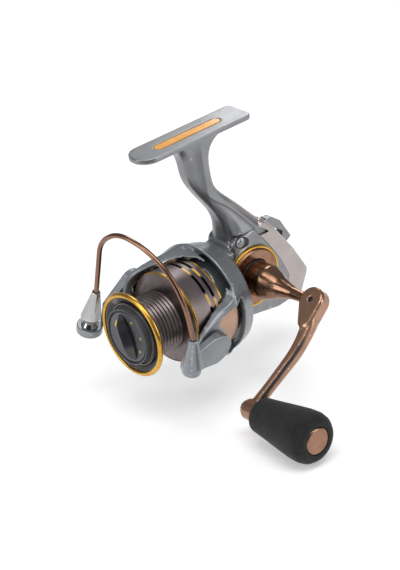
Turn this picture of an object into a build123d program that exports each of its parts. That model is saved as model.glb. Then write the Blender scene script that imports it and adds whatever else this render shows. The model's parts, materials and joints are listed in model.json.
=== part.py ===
"""Open-face spinning reel, modelled piece by piece in millimetres.

+X points to the spool and the rod tip, +Y to the handle, +Z to the rod.
The origin is the centre of the foot's top face, which rests on the rod's reel seat.
"""
from build123d import *
import os
from math import atan2, cos, degrees, pi, radians, sin, sqrt, tan

# --- clearances ---------------------------------------------------------------------------
FIT_GAP = 0.05          # radial running fit of shafts, bearings and bushes
SEAT_GAP = 0.02         # radial gap of pieces that turn together
SIDE_GAP = 0.3          # between neighbours that move past each other
JOIN_GAP = 0.1          # between neighbours that stay still

# --- axes ---------------------------------------------------------------------------------
AXIS_DROP = 83.2        # foot's top face down to the spool and rotor axis
HANDLE_BACK = 20.9         # handle axis behind the origin
HYPOID_OFFSET = 6.0         # handle axis above the spool axis
ROTOR_REST_ANGLE = -17.0
CRANK_REST_ANGLE = 48.0
HANDLE_DROP = AXIS_DROP - HYPOID_OFFSET

AXIS_PLACE = Location((0, 0, -AXIS_DROP))
ROTOR_PLACE = Location((0, 0, -AXIS_DROP), (ROTOR_REST_ANGLE, 0, 0))
SHAFT_PLACE = Location((-HANDLE_BACK, 0, -HANDLE_DROP))
CRANK_PLACE = Location((-HANDLE_BACK, 0, -HANDLE_DROP), (0, -CRANK_REST_ANGLE, 0))

# --- foot and stem ------------------------------------------------------------------------
FOOT_LENGTH = 64.3
FOOT_WIDTH = 16.0
FOOT_EDGE = 2.4
FOOT_REAR_CORNER = 3.0
INLAY_LENGTH = 38.0
INLAY_WIDTH = 4.6
INLAY_DEPTH = 0.8
# drop below the foot, front and rear x, width
STEM_SECTIONS = (
    (2.2, 15.5, -19.0, 13.5),
    (4.2, 11.0, -15.0, 11.6),
    (7.0, 8.2, -11.6, 10.6),
    (12.0, 6.2, -9.0, 10.2),
    (20.0, 4.8, -8.6, 10.2),
    (28.0, 1.2, -9.8, 10.4),
    (34.5, -3.2, -14.2, 11.2),
    (41.0, -7.8, -20.6, 12.6),
    (47.5, -11.2, -26.6, 15.4),
    (54.0, -12.6, -32.6, 18.6),
    (60.0, -12.4, -38.0, 20.6),
)
STEM_ROUND = 0.36         # corner radius as a share of the stem's width

# --- gear case ----------------------------------------------------------------------------
CASE_HALF = 9.6
CASE_OUTLINE = (
    (-12.0, -57.8),
    (-31.0, -52.0),
    (-37.5, -58.9),
    (-48.5, -74.4),
    (-56.2, -88.2),
    (-51.0, -99.0),
    (-36.0, -100.6),
    (-11.0, -97.0),
)
CASE_CORNER = 4.0
CASE_EDGE_ROUND = 2.4
CASE_WALL = 1.3
GUARD_WALL = 1.2
GUARD_EDGE = (
    (-22.0, -44.0),
    (-25.5, -56.0),
    (-32.4, -65.6),
    (-39.2, -76.2),
    (-43.3, -86.0),
    (-42.6, -93.0),
    (-38.5, -106.0),
)
CAVITY_HALF = CASE_HALF - GUARD_WALL - JOIN_GAP - CASE_WALL
CAVITY_INSET = GUARD_WALL + JOIN_GAP + CASE_WALL
SPLIT_Y = 6.0           # plane between the frame and the side cover
SEAM_DROP = 55.3         # top of the side cover below the foot
FLANGE_BACK = 12.4
FLANGE_FRONT = 8.6
FLANGE_RADIUS = 23.4
COLLAR_STEP = 5.6
COLLAR_FRONT = 4.6
COLLAR_RADIUS = 15.4
RAMP_HALF = 5.0

# --- main shaft and pinion ----------------------------------------------------------------
MAIN_RADIUS = 2.0
MAIN_BACK = -46.0
MAIN_FRONT = 50.0
PINION_TEETH = 7
PINION_TIP = 3.2
PINION_ROOT = 2.65
PINION_JOURNAL = 2.6
PINION_SLEEVE = 3.5
PINION_BACK = -18.0
PINION_TOOTH_BACK = -15.8
PINION_TOOTH_FRONT = -9.4
PINION_FRONT = 12.2
REAR_BEARING_RADIUS = 3.8
REAR_BEARING_WIDTH = 2.0
FRONT_BEARING_RADIUS = 6.5
FRONT_BEARING_WIDTH = 4.0
FRONT_BEARING_BACK = -5.6
CLUTCH_RADIUS = 11.0
CLUTCH_RACE = 8.3
CLUTCH_INNER = 6.2
CLUTCH_WIDTH = 5.4
CLUTCH_ROLLERS = 8
CLUTCH_BACK = -1.2
PLATE_RADIUS = 14.8
PLATE_THICKNESS = 1.0
PLATE_SCREWS = 3
PLATE_SCREW_CIRCLE = 12.9

# --- drive gear, crank and handle ---------------------------------------------------------
DRIVE_TEETH = 36
DRIVE_RADIUS = 11.8
DRIVE_TOOTH_LENGTH = 2.4
DRIVE_TOOTH_HEIGHT = 0.9
DRIVE_DISC = 1.4
DRIVE_HUB_RADIUS = 5.0
TOOTH_TIP_GAP = 0.15    # pinion tips to drive gear tips
DRIVE_SHAFT_RADIUS = 3.4
DRIVE_BEARING_RADIUS = 7.0
DRIVE_BEARING_WIDTH = 3.2
CRANK_ROD_RADIUS = 2.2
OSC_DRIVER_TEETH = 16
OSC_GEAR_TEETH = 24
OSC_MODULE = 0.75
OSC_GEAR_WIDTH = 2.4
OSC_GEAR_Y = 4.15
ECCENTRIC = 7.0         # half of the spool's stroke
ECCENTRIC_PIN = 1.0
SLIDER_HALF = 2.6
SLIDER_FACE = 3.1
SLIDER_BACK = -2.9
TRIM_RADIUS = 13.6
TRIM_BORE = 8.3
TRIM_FACE = 12.2
RIM_RADIUS = 14.9
RIM_FACE = 11.7
COLLAR_START = 13.1
COLLAR_BIG = 8.1
COLLAR_GROOVE = 20.2
COLLAR_BELL = ((29.5, 5.0), (34.0, 3.8), (38.0, 2.9))    # collar's curve: along its axis, radius
COLLAR_CONE_END = 44.4
COLLAR_NECK = 2.5
ARM_Y = 51.4
ARM_LENGTH = 56.0
HEAD_RADIUS = 6.6
HEAD_HALF = 3.6
# share of the way from the crank's axis to the grip's, place along the axis beyond the boss, depth, width
ARM_SECTIONS = (
    (0.107142857143, 1.8, 6.8, 8.6),
    (0.232142857143, 4.4, 6.2, 7.0),
    (0.357142857143, 5.1, 5.8, 6.2),
    (0.482142857143, 4.7, 5.6, 5.8),
    (0.625, 3.2, 5.2, 5.4),
    (0.767857142857, 1.6, 5.0, 5.2),
    (0.875, 0.3, 5.2, 5.2),
    (0.964285714286, -0.2, 5.6, 5.6),
)
FOLD_PIN_RADIUS = 1.3
TONGUE_HALF = 1.9
TONGUE_ROUND = 2.9
HEAD_SOFT = 1.5         # rounding of the head's rims
HEAD_LOW = (2.6, -9.5, 4.0)    # lower round of the head: beyond the boss, up, radius
BOSS_RADIUS = 4.9
BOSS_HALF = 3.6
SPINDLE_RADIUS = 2.2
GRIP_START = 55.5
GRIP_END = 93.5
GRIP_BIG = 12.2
GRIP_SMALL = 8.2
GRIP_CAP_RADIUS = 6.4
GRIP_CORE_RADIUS = 4.6

# --- rotor --------------------------------------------------------------------------------
ROTOR_BACK = -8.0
ROTOR_RIM_RADIUS = 24.9
HUB_BACK = 7.0
HUB_FRONT = 9.6
CUP_RADIUS = 19.0
CUP_BORE = 17.2
PIVOT_X = 19.7
PIVOT_BOSS = 8.0
CROWN_FRONT = 3.0
CROWN_EDGE = 1.9        # wall left at the crown's front edge
FLARE_DEPTH = 5.2
FLARE_SIDE = 15.0
# upper edges of both arms, forward of the crown's front and up from the axis
ARM_EDGE = ((0.0, 22.0), (1.2, 17.4), (4.8, 15.2), (9.4, 13.8), (14.6, 11.4), (20.0, 8.6), (23.4, 5.4),
            (24.7, 1.6))
FAR_EDGE = ((0.0, 24.4), (3.4, 22.4), (9.0, 19.4), (17.0, 14.8), (22.0, 10.0), (24.7, 3.4))
# upper half of the window in an arm
WINDOW_EDGE = ((11.2, 1.4), (12.0, 4.8), (15.0, 8.4), (12.2, 10.8), (6.3, 13.2), (-1.0, 15.6))
PANEL_FRONT = 15.6
PANEL_BACK = 0.6
NUT_RADIUS = 5.2
PANEL_WALL = 0.9
PANEL_HALF = 11.6

# --- bail ---------------------------------------------------------------------------------
LEVER_GAP = 0.4         # bail levers to the rotor's arms
LEVER_THICKNESS = 4.0
WIRE_RADIUS = 1.2
HOLDER_DROP = 4.4       # near holder's cone below the pivot's level
HOLDER_FOOT = 4.3
HOLDER_BASE = 4.8
HOLDER_TIP = 2.3
BAIL_PLANE = (38.27, -0.118, 0.0876)   # forward place = first + second * side + third * up
ROLLER_X = 42.0
ROLLER_RADIUS = 4.2
ROLLER_WIDTH = 4.6
LUG_DROP = 20.4
LUG_RADIUS = 6.1
LUG_THICKNESS = 3.6
PIVOT_SCREW_RADIUS = 2.2
PIVOT_SCREW_HEAD = 3.8
SCREW_SINK = 0.3        # pivot screw heads, on the inner side of the rotor's arms
SCREW_HEAD_HEIGHT = 1.0
PIVOT_SKIN = 1.0        # left on the levers' outer faces over the screws' ends

# --- spool and drag -----------------------------------------------------------------------
LIP_FRONT = 45.2
LIP_RADIUS = 20.3
LIP_WIDTH = 2.3
LIP_THICKNESS = 2.4
ARBOR_RADIUS = 14.4
ARBOR_RIDGES = 9
SKIRT_FRONT = 23.7
SKIRT_REAR = 6.4
SKIRT_RADIUS = 22.0
SKIRT_WALL = 1.6
SPOOL_WALL = 1.8
WELL_RADIUS = 11.2
WELL_FLOOR = 31.0
SPOOL_HUB_RADIUS = 4.6
SPOOL_HUB_BACK = 15.0
SLOT_ROWS = (10.2, 13.6)
SLOT_COUNT = 8
SLOT_WIDTH = 1.5
SLOT_ANGLE = 27.0
KNOB_RADIUS = 14.2
KNOB_BACK = 41.6
KNOB_FACE = 47.4
KNOB_BAR_FRONT = 51.0
FELT_THICKNESS = 1.3
METAL_THICKNESS = 0.9
WASHER_RADIUS = 10.9
SKIRT_GAP = 1.4         # spool skirt to the rotor's bore
BARREL_WALL = 3.2
CROWN_RISE = 1.5        # rotor's rear ring stands this far beyond its arms

# --- sizes that follow from the ones above --------------------------------------------------
BARREL_BORE = SKIRT_RADIUS + SKIRT_GAP
BARREL_RADIUS = BARREL_BORE + BARREL_WALL
CROWN_RADIUS = BARREL_RADIUS + CROWN_RISE
LEVER_INNER = BARREL_RADIUS + LEVER_GAP     # inner faces of both bail levers from the axis
LEVER_OUTER = LEVER_INNER + LEVER_THICKNESS
# sideways and up from the axis, in the rotor's frame
NEAR_TIP = (LEVER_INNER + 3.2, 14.8)
FAR_TIP = (-LEVER_INNER - 1.2, 4.5)
ROLLER_SIDE = -LEVER_INNER - 3.2
WIRE_POINTS = (NEAR_TIP, (25.4, 30.5), (15.5, 44.5), (0.0, 50.2), (-16.0, 48.6), (-26.3, 37.0), FAR_TIP)


# --- helpers ------------------------------------------------------------------------------
def disc(x0, x1, radius, bore=0.0):
    """A disc or ring on the local X axis, from x0 to x1."""
    shape = Circle(radius) - Circle(bore) if bore else Circle(radius)
    plane = Plane(origin=(x0, 0, 0), x_dir=(0, 1, 0), z_dir=(1, 0, 0))
    return extrude(plane * shape, amount=x1 - x0)


def wheel(y0, y1, radius, bore=0.0):
    """A disc or ring on the local Y axis, from y0 to y1."""
    shape = Circle(radius) - Circle(bore) if bore else Circle(radius)
    plane = Plane(origin=(0, y0, 0), x_dir=(1, 0, 0), z_dir=(0, 1, 0))
    return extrude(plane * shape, amount=y1 - y0)


def turned_x(points):
    """A solid turned about the local X axis from its (x, radius) outline."""
    face = make_face(Polyline(*[(x, 0, r) for x, r in points], close=True))
    return revolve(face, Axis.X, 360)


def turned_y(points):
    """A solid turned about the local Y axis from its (y, radius) outline."""
    face = make_face(Polyline(*[(r, y, 0) for y, r in points], close=True))
    return revolve(face, Axis.Y, 360)


def side_plate(points, y0, y1, corner=0.0):
    """A plate whose (x, z) outline is pushed along Y from y0 to y1."""
    places = [(x, z) for x, z in points]
    if corner:
        outline = FilletPolyline(*places, radius=corner, close=True)
    else:
        outline = Polyline(*places, close=True)
    plane = Plane(origin=(0, y1, 0), x_dir=(1, 0, 0), z_dir=(0, -1, 0))
    return extrude(plane * make_face(outline), amount=y1 - y0)


def block(x0, x1, y0, y1, z0, z1):
    """A box between two corners."""
    return Pos((x0 + x1) / 2, (y0 + y1) / 2, (z0 + z1) / 2) * Box(x1 - x0, y1 - y0, z1 - z0)


def toothed(teeth, root, tip):
    """A gear's outline, with flat-topped teeth."""
    corners = []
    for tooth in range(teeth):
        centre = 360 * tooth / teeth
        pitch = 360 / teeth
        for share, radius in ((-0.33, root), (-0.15, tip), (0.15, tip), (0.33, root)):
            angle = radians(centre + share * pitch)
            corners.append((radius * cos(angle), radius * sin(angle)))
    return make_face(Polyline(*corners, close=True))


def ball_bearing(outer, bore, width):
    """Rings, balls and shields of a bearing as two rings and a core, centred on the X axis."""
    wall = (outer - bore) * 0.28
    body = disc(0, width, outer, bore)
    groove_depth = width * 0.12
    shield = disc(0, groove_depth, outer - wall, bore + wall)
    return body - shield - Pos(width - groove_depth, 0, 0) * shield


def around_x(shape, count, start=0.0):
    """Copies of a shape, evenly spaced about the X axis."""
    return [Rot(start + 360 * turn / count, 0, 0) * shape for turn in range(count)]


def rounded_route(points):
    """Straight runs joined by the largest tangent arcs that the runs leave room for."""
    radii = []
    for before, corner, after in zip(points, points[1:], points[2:]):
        one = Vector(*corner) - Vector(*before)
        two = Vector(*after) - Vector(*corner)
        half_turn = radians(one.get_angle(two)) / 2
        radii.append(0.45 * min(one.length, two.length) / tan(half_turn))
    return FilletPolyline(*points, radius=radii)


def capsule(first, second, radius_one, radius_two, y0, y1):
    """A link between two round ends, given as (x, z), pushed along Y."""
    plane = Plane(origin=(0, y1, 0), x_dir=(1, 0, 0), z_dir=(0, -1, 0))
    round_one = Pos(*first) * Circle(radius_one)
    round_two = Pos(*second) * Circle(radius_two)
    return extrude(plane * make_hull(round_one.edges() + round_two.edges()), amount=y1 - y0)


NODES = {}


def node(name, shape, place=Location()):
    """Place a finished piece and keep it under its node's name."""
    NODES[name] = place * (Compound(shape) if isinstance(shape, list) else shape)


# --- fixed frame --------------------------------------------------------------------------
def foot():
    """The flat foot that the reel seat clamps, round in front and squarer behind."""
    half = FOOT_LENGTH / 2
    nose = Pos(half - FOOT_WIDTH / 2, 0) * Circle(FOOT_WIDTH / 2)
    bar_length = FOOT_LENGTH - FOOT_WIDTH / 2
    bar = Pos(-half + bar_length / 2, 0) * Rectangle(bar_length, FOOT_WIDTH)
    rear = bar.vertices().group_by(Axis.X)[0]
    outline = nose + fillet(rear, FOOT_REAR_CORNER)
    return extrude(outline, amount=-FOOT_EDGE)


def inlay_outline(gap):
    """The stadium of the inlay in the foot's top face, with a gap round it."""
    return SlotOverall(INLAY_LENGTH + 2 * gap, INLAY_WIDTH + 2 * gap)


def stem():
    """The curved stem, lofted through level sections."""
    sections = []
    for drop, front, back, width in STEM_SECTIONS:
        middle = (front + back) / 2
        corner = min(width, front - back) * STEM_ROUND
        sections.append(Pos(middle, 0, -drop) * RectangleRounded(front - back, width, corner))
    return loft(sections)


def case_form(inset, half):
    """The gear case's outer form, drawn in by an inset and a half width."""
    outline = make_face(FilletPolyline(*CASE_OUTLINE, radius=CASE_CORNER, close=True))
    if inset:
        outline = offset(outline, -inset)
    plane = Plane(origin=(0, half, 0), x_dir=(1, 0, 0), z_dir=(0, -1, 0))
    return extrude(plane * outline, amount=2 * half)


def rounded_case():
    """The outer form with its side edges rounded."""
    form = case_form(0, CASE_HALF)
    rim = form.edges().filter_by_position(Axis.Y, CASE_HALF - 0.01, CASE_HALF + 0.01)
    rim += form.edges().filter_by_position(Axis.Y, -CASE_HALF - 0.01, -CASE_HALF + 0.01)
    return fillet(rim, CASE_EDGE_ROUND)


def behind_guard_edge():
    """The space behind the rear guard's front edge."""
    far = CASE_OUTLINE[4][0] - CASE_WALL
    top = GUARD_EDGE[0][1]
    low = GUARD_EDGE[-1][1]
    edge = list(GUARD_EDGE) + [(far, low), (far, top)]
    return side_plate(edge, -2 * CASE_HALF, 2 * CASE_HALF)


def cover_zone():
    """The space on the handle side that the side cover takes."""
    reach = CASE_HALF * 2
    return block(CASE_OUTLINE[4][0], CASE_OUTLINE[0][0], SPLIT_Y, reach, -2 * AXIS_DROP, -SEAM_DROP)


def cavity():
    """The hollow of the gear case."""
    return case_form(CAVITY_INSET, CAVITY_HALF)


COVER_SCREWS = ((-16.4, -58.6), (-30.5, -96.0), (-16.6, -93.4))
SCREW_RADIUS = 1.1
SCREW_HEAD = 2.4
SCREW_HEAD_DEPTH = 1.6
SCREW_LENGTH = 10.0
POST_RADIUS = 2.6


def cover_screw(gap):
    """One side cover screw on the Y axis, or the hole for it if a gap is given."""
    top = CASE_HALF - 0.2
    head = wheel(top - SCREW_HEAD_DEPTH, top + gap * 4, SCREW_HEAD + gap)
    shank = wheel(top - SCREW_LENGTH - gap, top - SCREW_HEAD_DEPTH, SCREW_RADIUS + gap)
    screw = head + shank
    if not gap:
        slot = Pos(0, top, 0) * (Box(SCREW_HEAD * 1.5, 1.2, 0.7) + Box(0.7, 1.2, SCREW_HEAD * 1.5))
        screw = screw - slot
    return screw


def screw_places():
    """The side cover screws' axes."""
    return [Pos(x, 0, z) for x, z in COVER_SCREWS]


def case_shell():
    """The whole hollow gear case before it is split, with its bosses, flange and collar."""
    shell = rounded_case() - cavity()
    shell += [place * wheel(-CAVITY_HALF, CASE_HALF - 1, POST_RADIUS) for place in screw_places()]
    flange = disc(-FLANGE_BACK, -FLANGE_FRONT, FLANGE_RADIUS)
    flange &= block(-FLANGE_BACK, -FLANGE_FRONT, -CASE_HALF, CASE_HALF, -FLANGE_RADIUS, FLANGE_RADIUS)
    collar = disc(-COLLAR_STEP, COLLAR_FRONT, COLLAR_RADIUS)
    neck = disc(-FLANGE_BACK, -COLLAR_STEP, COLLAR_RADIUS)
    neck &= block(-FLANGE_BACK, -COLLAR_STEP, -CASE_HALF, CASE_HALF, -COLLAR_RADIUS, COLLAR_RADIUS)
    shell += AXIS_PLACE * (flange + neck + collar)
    rib = block(PINION_BACK, PINION_BACK + REAR_BEARING_WIDTH, -3.2, 3.2,
                CASE_OUTLINE[6][1] + CASE_WALL, -AXIS_DROP)
    shell += rib
    return shell


DRIVE_BOSS_RADIUS = DRIVE_BEARING_RADIUS + 2.2
NEAR_BEARING_Y = CAVITY_HALF + 0.2
FAR_BEARING_Y = -NEAR_BEARING_Y - DRIVE_BEARING_WIDTH
FAR_BOSS_END = FAR_BEARING_Y - 1.6
RAIL_RADIUS = 1.0
RAIL_DROP = 6.6
RAIL_BACK = -48.2
RAIL_FRONT = -17.4
LEVER_PIN_RADIUS = 0.7
LEVER_PIN_DEPTH = 1.3
LEVER_BARREL = 1.9
LEVER_HALF = 2.2
LEVER_LENGTH = 21.0
LEVER_CREST = 8.4
LEVER_HEIGHT = 6.3
LEVER_CORNER = 0.6


def frame_cuts():
    """Bores through the gear case for what runs in it."""
    pinion_room = disc(-FLANGE_BACK - 6, FRONT_BEARING_BACK, PINION_TIP + 2 * SIDE_GAP)
    front_seat = disc(FRONT_BEARING_BACK, COLLAR_FRONT, FRONT_BEARING_RADIUS + SEAT_GAP)
    clutch_seat = disc(CLUTCH_BACK, COLLAR_FRONT, CLUTCH_RADIUS + SEAT_GAP)
    screws = around_x(Pos(0, PLATE_SCREW_CIRCLE, 0) * disc(-2.0, COLLAR_FRONT, 0.8 + SEAT_GAP),
                      PLATE_SCREWS, 60)
    rear_seat = disc(PINION_BACK - 1, PINION_BACK + REAR_BEARING_WIDTH + 1, REAR_BEARING_RADIUS + SEAT_GAP)
    rail = Pos(0, 0, -RAIL_DROP) * disc(RAIL_BACK, RAIL_FRONT, RAIL_RADIUS + SEAT_GAP)
    return AXIS_PLACE * (pinion_room + front_seat + clutch_seat + screws + rear_seat + rail)


def body_frame():
    """Foot, stem and the fixed half of the gear case in one casting."""
    casting = case_shell() - behind_guard_edge() - cover_zone()
    inner = case_form(GUARD_WALL + JOIN_GAP, CAVITY_HALF + CASE_WALL) - cavity() - cover_zone()
    far_boss = SHAFT_PLACE * wheel(FAR_BOSS_END, -CAVITY_HALF, DRIVE_BOSS_RADIUS)
    gear_room = SHAFT_PLACE * wheel(-CAVITY_HALF, -PINION_TIP, DRIVE_RADIUS + 2 * SIDE_GAP)
    rail_post = AXIS_PLACE * Pos(0, 0, -RAIL_DROP) * disc(RAIL_FRONT - 3, RAIL_FRONT + 1, RAIL_RADIUS + 1.4)
    rail_web = block(RAIL_FRONT - 3, RAIL_FRONT + 1, -1.6, 1.6, CASE_OUTLINE[6][1] + CASE_WALL,
                     -AXIS_DROP - RAIL_DROP)
    casting = casting + inner + far_boss - gear_room
    casting += rail_post + rail_web
    top = foot() + stem() - cover_zone() - cavity()
    casting += top
    inlay = extrude(inlay_outline(JOIN_GAP), amount=-INLAY_DEPTH - JOIN_GAP)
    casting = casting - inlay - frame_cuts()
    bearing = wheel(FAR_BEARING_Y, -CAVITY_HALF + 1, DRIVE_BEARING_RADIUS + SEAT_GAP)
    rod_hole = wheel(FAR_BOSS_END - 1, FAR_BEARING_Y, DRIVE_SHAFT_RADIUS + SIDE_GAP)
    casting = casting - SHAFT_PLACE * (bearing + rod_hole)
    casting -= [place * cover_screw(SEAT_GAP) for place in screw_places()]
    return casting - lever_place() * (lever_recess() + lever_pin(SEAT_GAP))


def lever_place():
    """The frame of the tail lever: local X down the case's spine, local Z out of it."""
    top = CASE_OUTLINE[2]
    low = CASE_OUTLINE[3]
    angle = degrees(atan2(top[1] - low[1], low[0] - top[0]))
    return Location((top[0], 0, top[1]), (0, angle, 0)) * Rot(180, 0, 0)


def lever_recess():
    """The hollow that the lever's barrel turns in."""
    return Pos(1.0, 0, -LEVER_PIN_DEPTH) * wheel(-LEVER_HALF - SIDE_GAP, LEVER_HALF + SIDE_GAP,
                                                 LEVER_BARREL + SIDE_GAP)


def lever_pin(gap):
    """The lever's pin, or its hole if a gap is given."""
    reach = LEVER_HALF + 2.4 + gap
    return Pos(1.0, 0, -LEVER_PIN_DEPTH) * wheel(-reach, reach, LEVER_PIN_RADIUS + gap)


def tail_lever():
    """The lever on the case's spine: a low wing with a three-cornered window and a barrel."""
    wing = side_plate([(0.4, SIDE_GAP), (0.4, 2.0), (2.8, 4.6), (LEVER_CREST, LEVER_HEIGHT),
                       (LEVER_LENGTH - 1.0, LEVER_HEIGHT - 1.3), (LEVER_LENGTH - 1.6, SIDE_GAP)],
                      -LEVER_HALF, LEVER_HALF, LEVER_CORNER)
    window = side_plate([(6.0, 1.3), (15.4, 1.3), (13.4, 3.4)], -CASE_HALF, CASE_HALF, LEVER_CORNER / 2)
    barrel = Pos(1.0, 0, -LEVER_PIN_DEPTH) * wheel(-LEVER_HALF, LEVER_HALF, LEVER_BARREL)
    neck = block(0.4, 1.6, -LEVER_HALF, LEVER_HALF, -LEVER_PIN_DEPTH, 1.0)
    return wing - window + barrel + neck - Pos(1.0, 0, -LEVER_PIN_DEPTH) * wheel(-9, 9,
                                                                                 LEVER_PIN_RADIUS + FIT_GAP)


def side_cover():
    """The handle side of the gear case, with the boss that the handle shaft runs in."""
    shell = (case_shell() & cover_zone()) - behind_guard_edge()
    inner = (case_form(GUARD_WALL + JOIN_GAP, CAVITY_HALF + CASE_WALL) - cavity()) & cover_zone()
    flange_room = AXIS_PLACE * disc(-FLANGE_BACK - JOIN_GAP, 0, FLANGE_RADIUS + JOIN_GAP)
    flange_room &= block(-2 * FLANGE_BACK, 0, 0, CASE_HALF + JOIN_GAP, -2 * AXIS_DROP, 0)
    boss = SHAFT_PLACE * wheel(CAVITY_HALF, RIM_FACE - 1.6, RIM_RADIUS)
    cover = shell + inner - flange_room
    cover = cover + (boss - flange_room)
    bearing = wheel(NEAR_BEARING_Y, RIM_FACE, DRIVE_BEARING_RADIUS + SEAT_GAP)
    shaft_hole = wheel(SPLIT_Y - 1, NEAR_BEARING_Y, DRIVE_SHAFT_RADIUS + 2 * SIDE_GAP)
    cover = cover - SHAFT_PLACE * (bearing + shaft_hole)
    cover -= [place * cover_screw(SEAT_GAP) for place in screw_places()]
    return cover


def rear_guard():
    """The cap that wraps the case's back."""
    inner = case_form(GUARD_WALL, CAVITY_HALF + CASE_WALL + JOIN_GAP)
    guard = (rounded_case() & behind_guard_edge()) - inner
    return guard - stem() - lever_place() * (lever_recess() + lever_pin(SEAT_GAP))


def fixed_frame():
    """Everything that stays still."""
    node("body_frame", body_frame())
    node("foot_inlay", extrude(inlay_outline(0), amount=-INLAY_DEPTH))
    node("side_cover", side_cover())
    node("side_cover_screws", [place * cover_screw(0) for place in screw_places()])
    node("rear_guard", rear_guard())
    trim = turned_y([(RIM_FACE - 1.6, TRIM_BORE), (RIM_FACE - 1.6, TRIM_RADIUS), (TRIM_FACE - 0.5, TRIM_RADIUS),
                     (TRIM_FACE, TRIM_RADIUS - 0.7), (TRIM_FACE, TRIM_BORE + 0.4), (TRIM_FACE - 0.4,
                                                                                    TRIM_BORE)])
    node("side_trim_ring", trim, SHAFT_PLACE)
    node("anti_reverse_lever", tail_lever(), lever_place())
    node("lever_pin", lever_pin(0), lever_place())
    rim = turned_y([(RIM_FACE - 1.6, TRIM_RADIUS + JOIN_GAP), (RIM_FACE - 1.6, RIM_RADIUS),
                    (RIM_FACE - 0.4, RIM_RADIUS), (RIM_FACE, RIM_RADIUS - 0.4), (RIM_FACE,
                                                                                 TRIM_RADIUS + JOIN_GAP)])
    node("side_trim_rim", rim, SHAFT_PLACE)
    seal = wheel(NEAR_BEARING_Y + DRIVE_BEARING_WIDTH + JOIN_GAP, TRIM_FACE + 0.4, TRIM_BORE - JOIN_GAP,
                 DRIVE_SHAFT_RADIUS + SIDE_GAP)
    node("shaft_seal_ring", seal, SHAFT_PLACE)
    drive_bearing = Rot(0, 0, 90) * ball_bearing(DRIVE_BEARING_RADIUS, DRIVE_SHAFT_RADIUS + FIT_GAP,
                                                  DRIVE_BEARING_WIDTH)
    node("handle_side_bearing", Pos(0, NEAR_BEARING_Y, 0) * drive_bearing, SHAFT_PLACE)
    node("far_side_bearing", Pos(0, FAR_BEARING_Y, 0) * drive_bearing, SHAFT_PLACE)
    rear = ball_bearing(REAR_BEARING_RADIUS, PINION_JOURNAL + FIT_GAP, REAR_BEARING_WIDTH)
    node("pinion_rear_bearing", Pos(PINION_BACK, 0, 0) * rear, AXIS_PLACE)
    front = ball_bearing(FRONT_BEARING_RADIUS, PINION_SLEEVE + FIT_GAP, FRONT_BEARING_WIDTH)
    node("pinion_front_bearing", Pos(FRONT_BEARING_BACK, 0, 0) * front, AXIS_PLACE)
    node("clutch_outer_ring", disc(CLUTCH_BACK, CLUTCH_BACK + CLUTCH_WIDTH, CLUTCH_RADIUS, CLUTCH_RACE),
         AXIS_PLACE)
    roller_radius = (CLUTCH_RACE - CLUTCH_INNER) / 2 - FIT_GAP
    roller = disc(CLUTCH_BACK + 0.4, CLUTCH_BACK + CLUTCH_WIDTH - 0.4, roller_radius)
    roller = Pos(0, (CLUTCH_RACE + CLUTCH_INNER) / 2, 0) * roller
    node("clutch_rollers", around_x(roller, CLUTCH_ROLLERS), AXIS_PLACE)
    plate_back = COLLAR_FRONT
    plate = disc(plate_back, plate_back + PLATE_THICKNESS, PLATE_RADIUS, CLUTCH_INNER + 0.6)
    plate -= around_x(Pos(0, PLATE_SCREW_CIRCLE, 0) * disc(plate_back - 1, plate_back + 3, 0.8 + SEAT_GAP),
                      PLATE_SCREWS, 60)
    node("clutch_cover_plate", plate, AXIS_PLACE)
    plate_screw = disc(-1.8, plate_back + PLATE_THICKNESS, 0.8)
    plate_screw += disc(plate_back + PLATE_THICKNESS, plate_back + PLATE_THICKNESS + 0.8, 1.5)
    node("clutch_plate_screws", around_x(Pos(0, PLATE_SCREW_CIRCLE, 0) * plate_screw, PLATE_SCREWS, 60),
         AXIS_PLACE)
    rail = Pos(0, 0, -RAIL_DROP) * disc(RAIL_BACK + JOIN_GAP, RAIL_FRONT - JOIN_GAP, RAIL_RADIUS)
    node("slider_guide_rail", rail, AXIS_PLACE)
    ramp = disc(-COLLAR_STEP + 1, COLLAR_FRONT - 2, CUP_BORE - SIDE_GAP, COLLAR_RADIUS + JOIN_GAP)
    ramp &= block(-COLLAR_STEP, COLLAR_FRONT, -RAMP_HALF, RAMP_HALF, -CUP_BORE, 0)
    node("bail_trip_ramp", ramp, AXIS_PLACE)


# --- crank and handle ---------------------------------------------------------------------
def drive_gear():
    """Face gear with its hollow shaft and the small gear that drives the oscillation."""
    tip_y = -PINION_TIP - TOOTH_TIP_GAP
    disc_front = tip_y - DRIVE_TOOTH_HEIGHT
    web = wheel(disc_front - DRIVE_DISC, disc_front, DRIVE_RADIUS)
    web -= wheel(disc_front - 0.5, disc_front, DRIVE_RADIUS - DRIVE_TOOTH_LENGTH - 0.6, DRIVE_HUB_RADIUS)
    shaft = wheel(FAR_BEARING_Y, COLLAR_START - 0.8, DRIVE_SHAFT_RADIUS)
    hub = wheel(disc_front - DRIVE_DISC, disc_front, DRIVE_HUB_RADIUS)
    pitch = 2 * pi * (DRIVE_RADIUS - DRIVE_TOOTH_LENGTH) / DRIVE_TEETH
    tooth = block(DRIVE_RADIUS - DRIVE_TOOTH_LENGTH, DRIVE_RADIUS - 0.1, disc_front - 0.2, tip_y,
                  -0.26 * pitch, 0.26 * pitch)
    teeth = [Rot(0, 360 * turn / DRIVE_TEETH, 0) * tooth for turn in range(DRIVE_TEETH)]
    root = OSC_MODULE * (OSC_DRIVER_TEETH / 2 - 1.1)
    tip = OSC_MODULE * (OSC_DRIVER_TEETH / 2 + 0.8)
    plane = Plane(origin=(0, OSC_GEAR_Y, 0), x_dir=(1, 0, 0), z_dir=(0, 1, 0))
    driver = extrude(plane * toothed(OSC_DRIVER_TEETH, root, tip), amount=OSC_GEAR_WIDTH)
    gear = web + hub + shaft + driver
    gear = gear + teeth
    return gear - wheel(FAR_BEARING_Y - 1, COLLAR_START, CRANK_ROD_RADIUS + SEAT_GAP)


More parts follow.
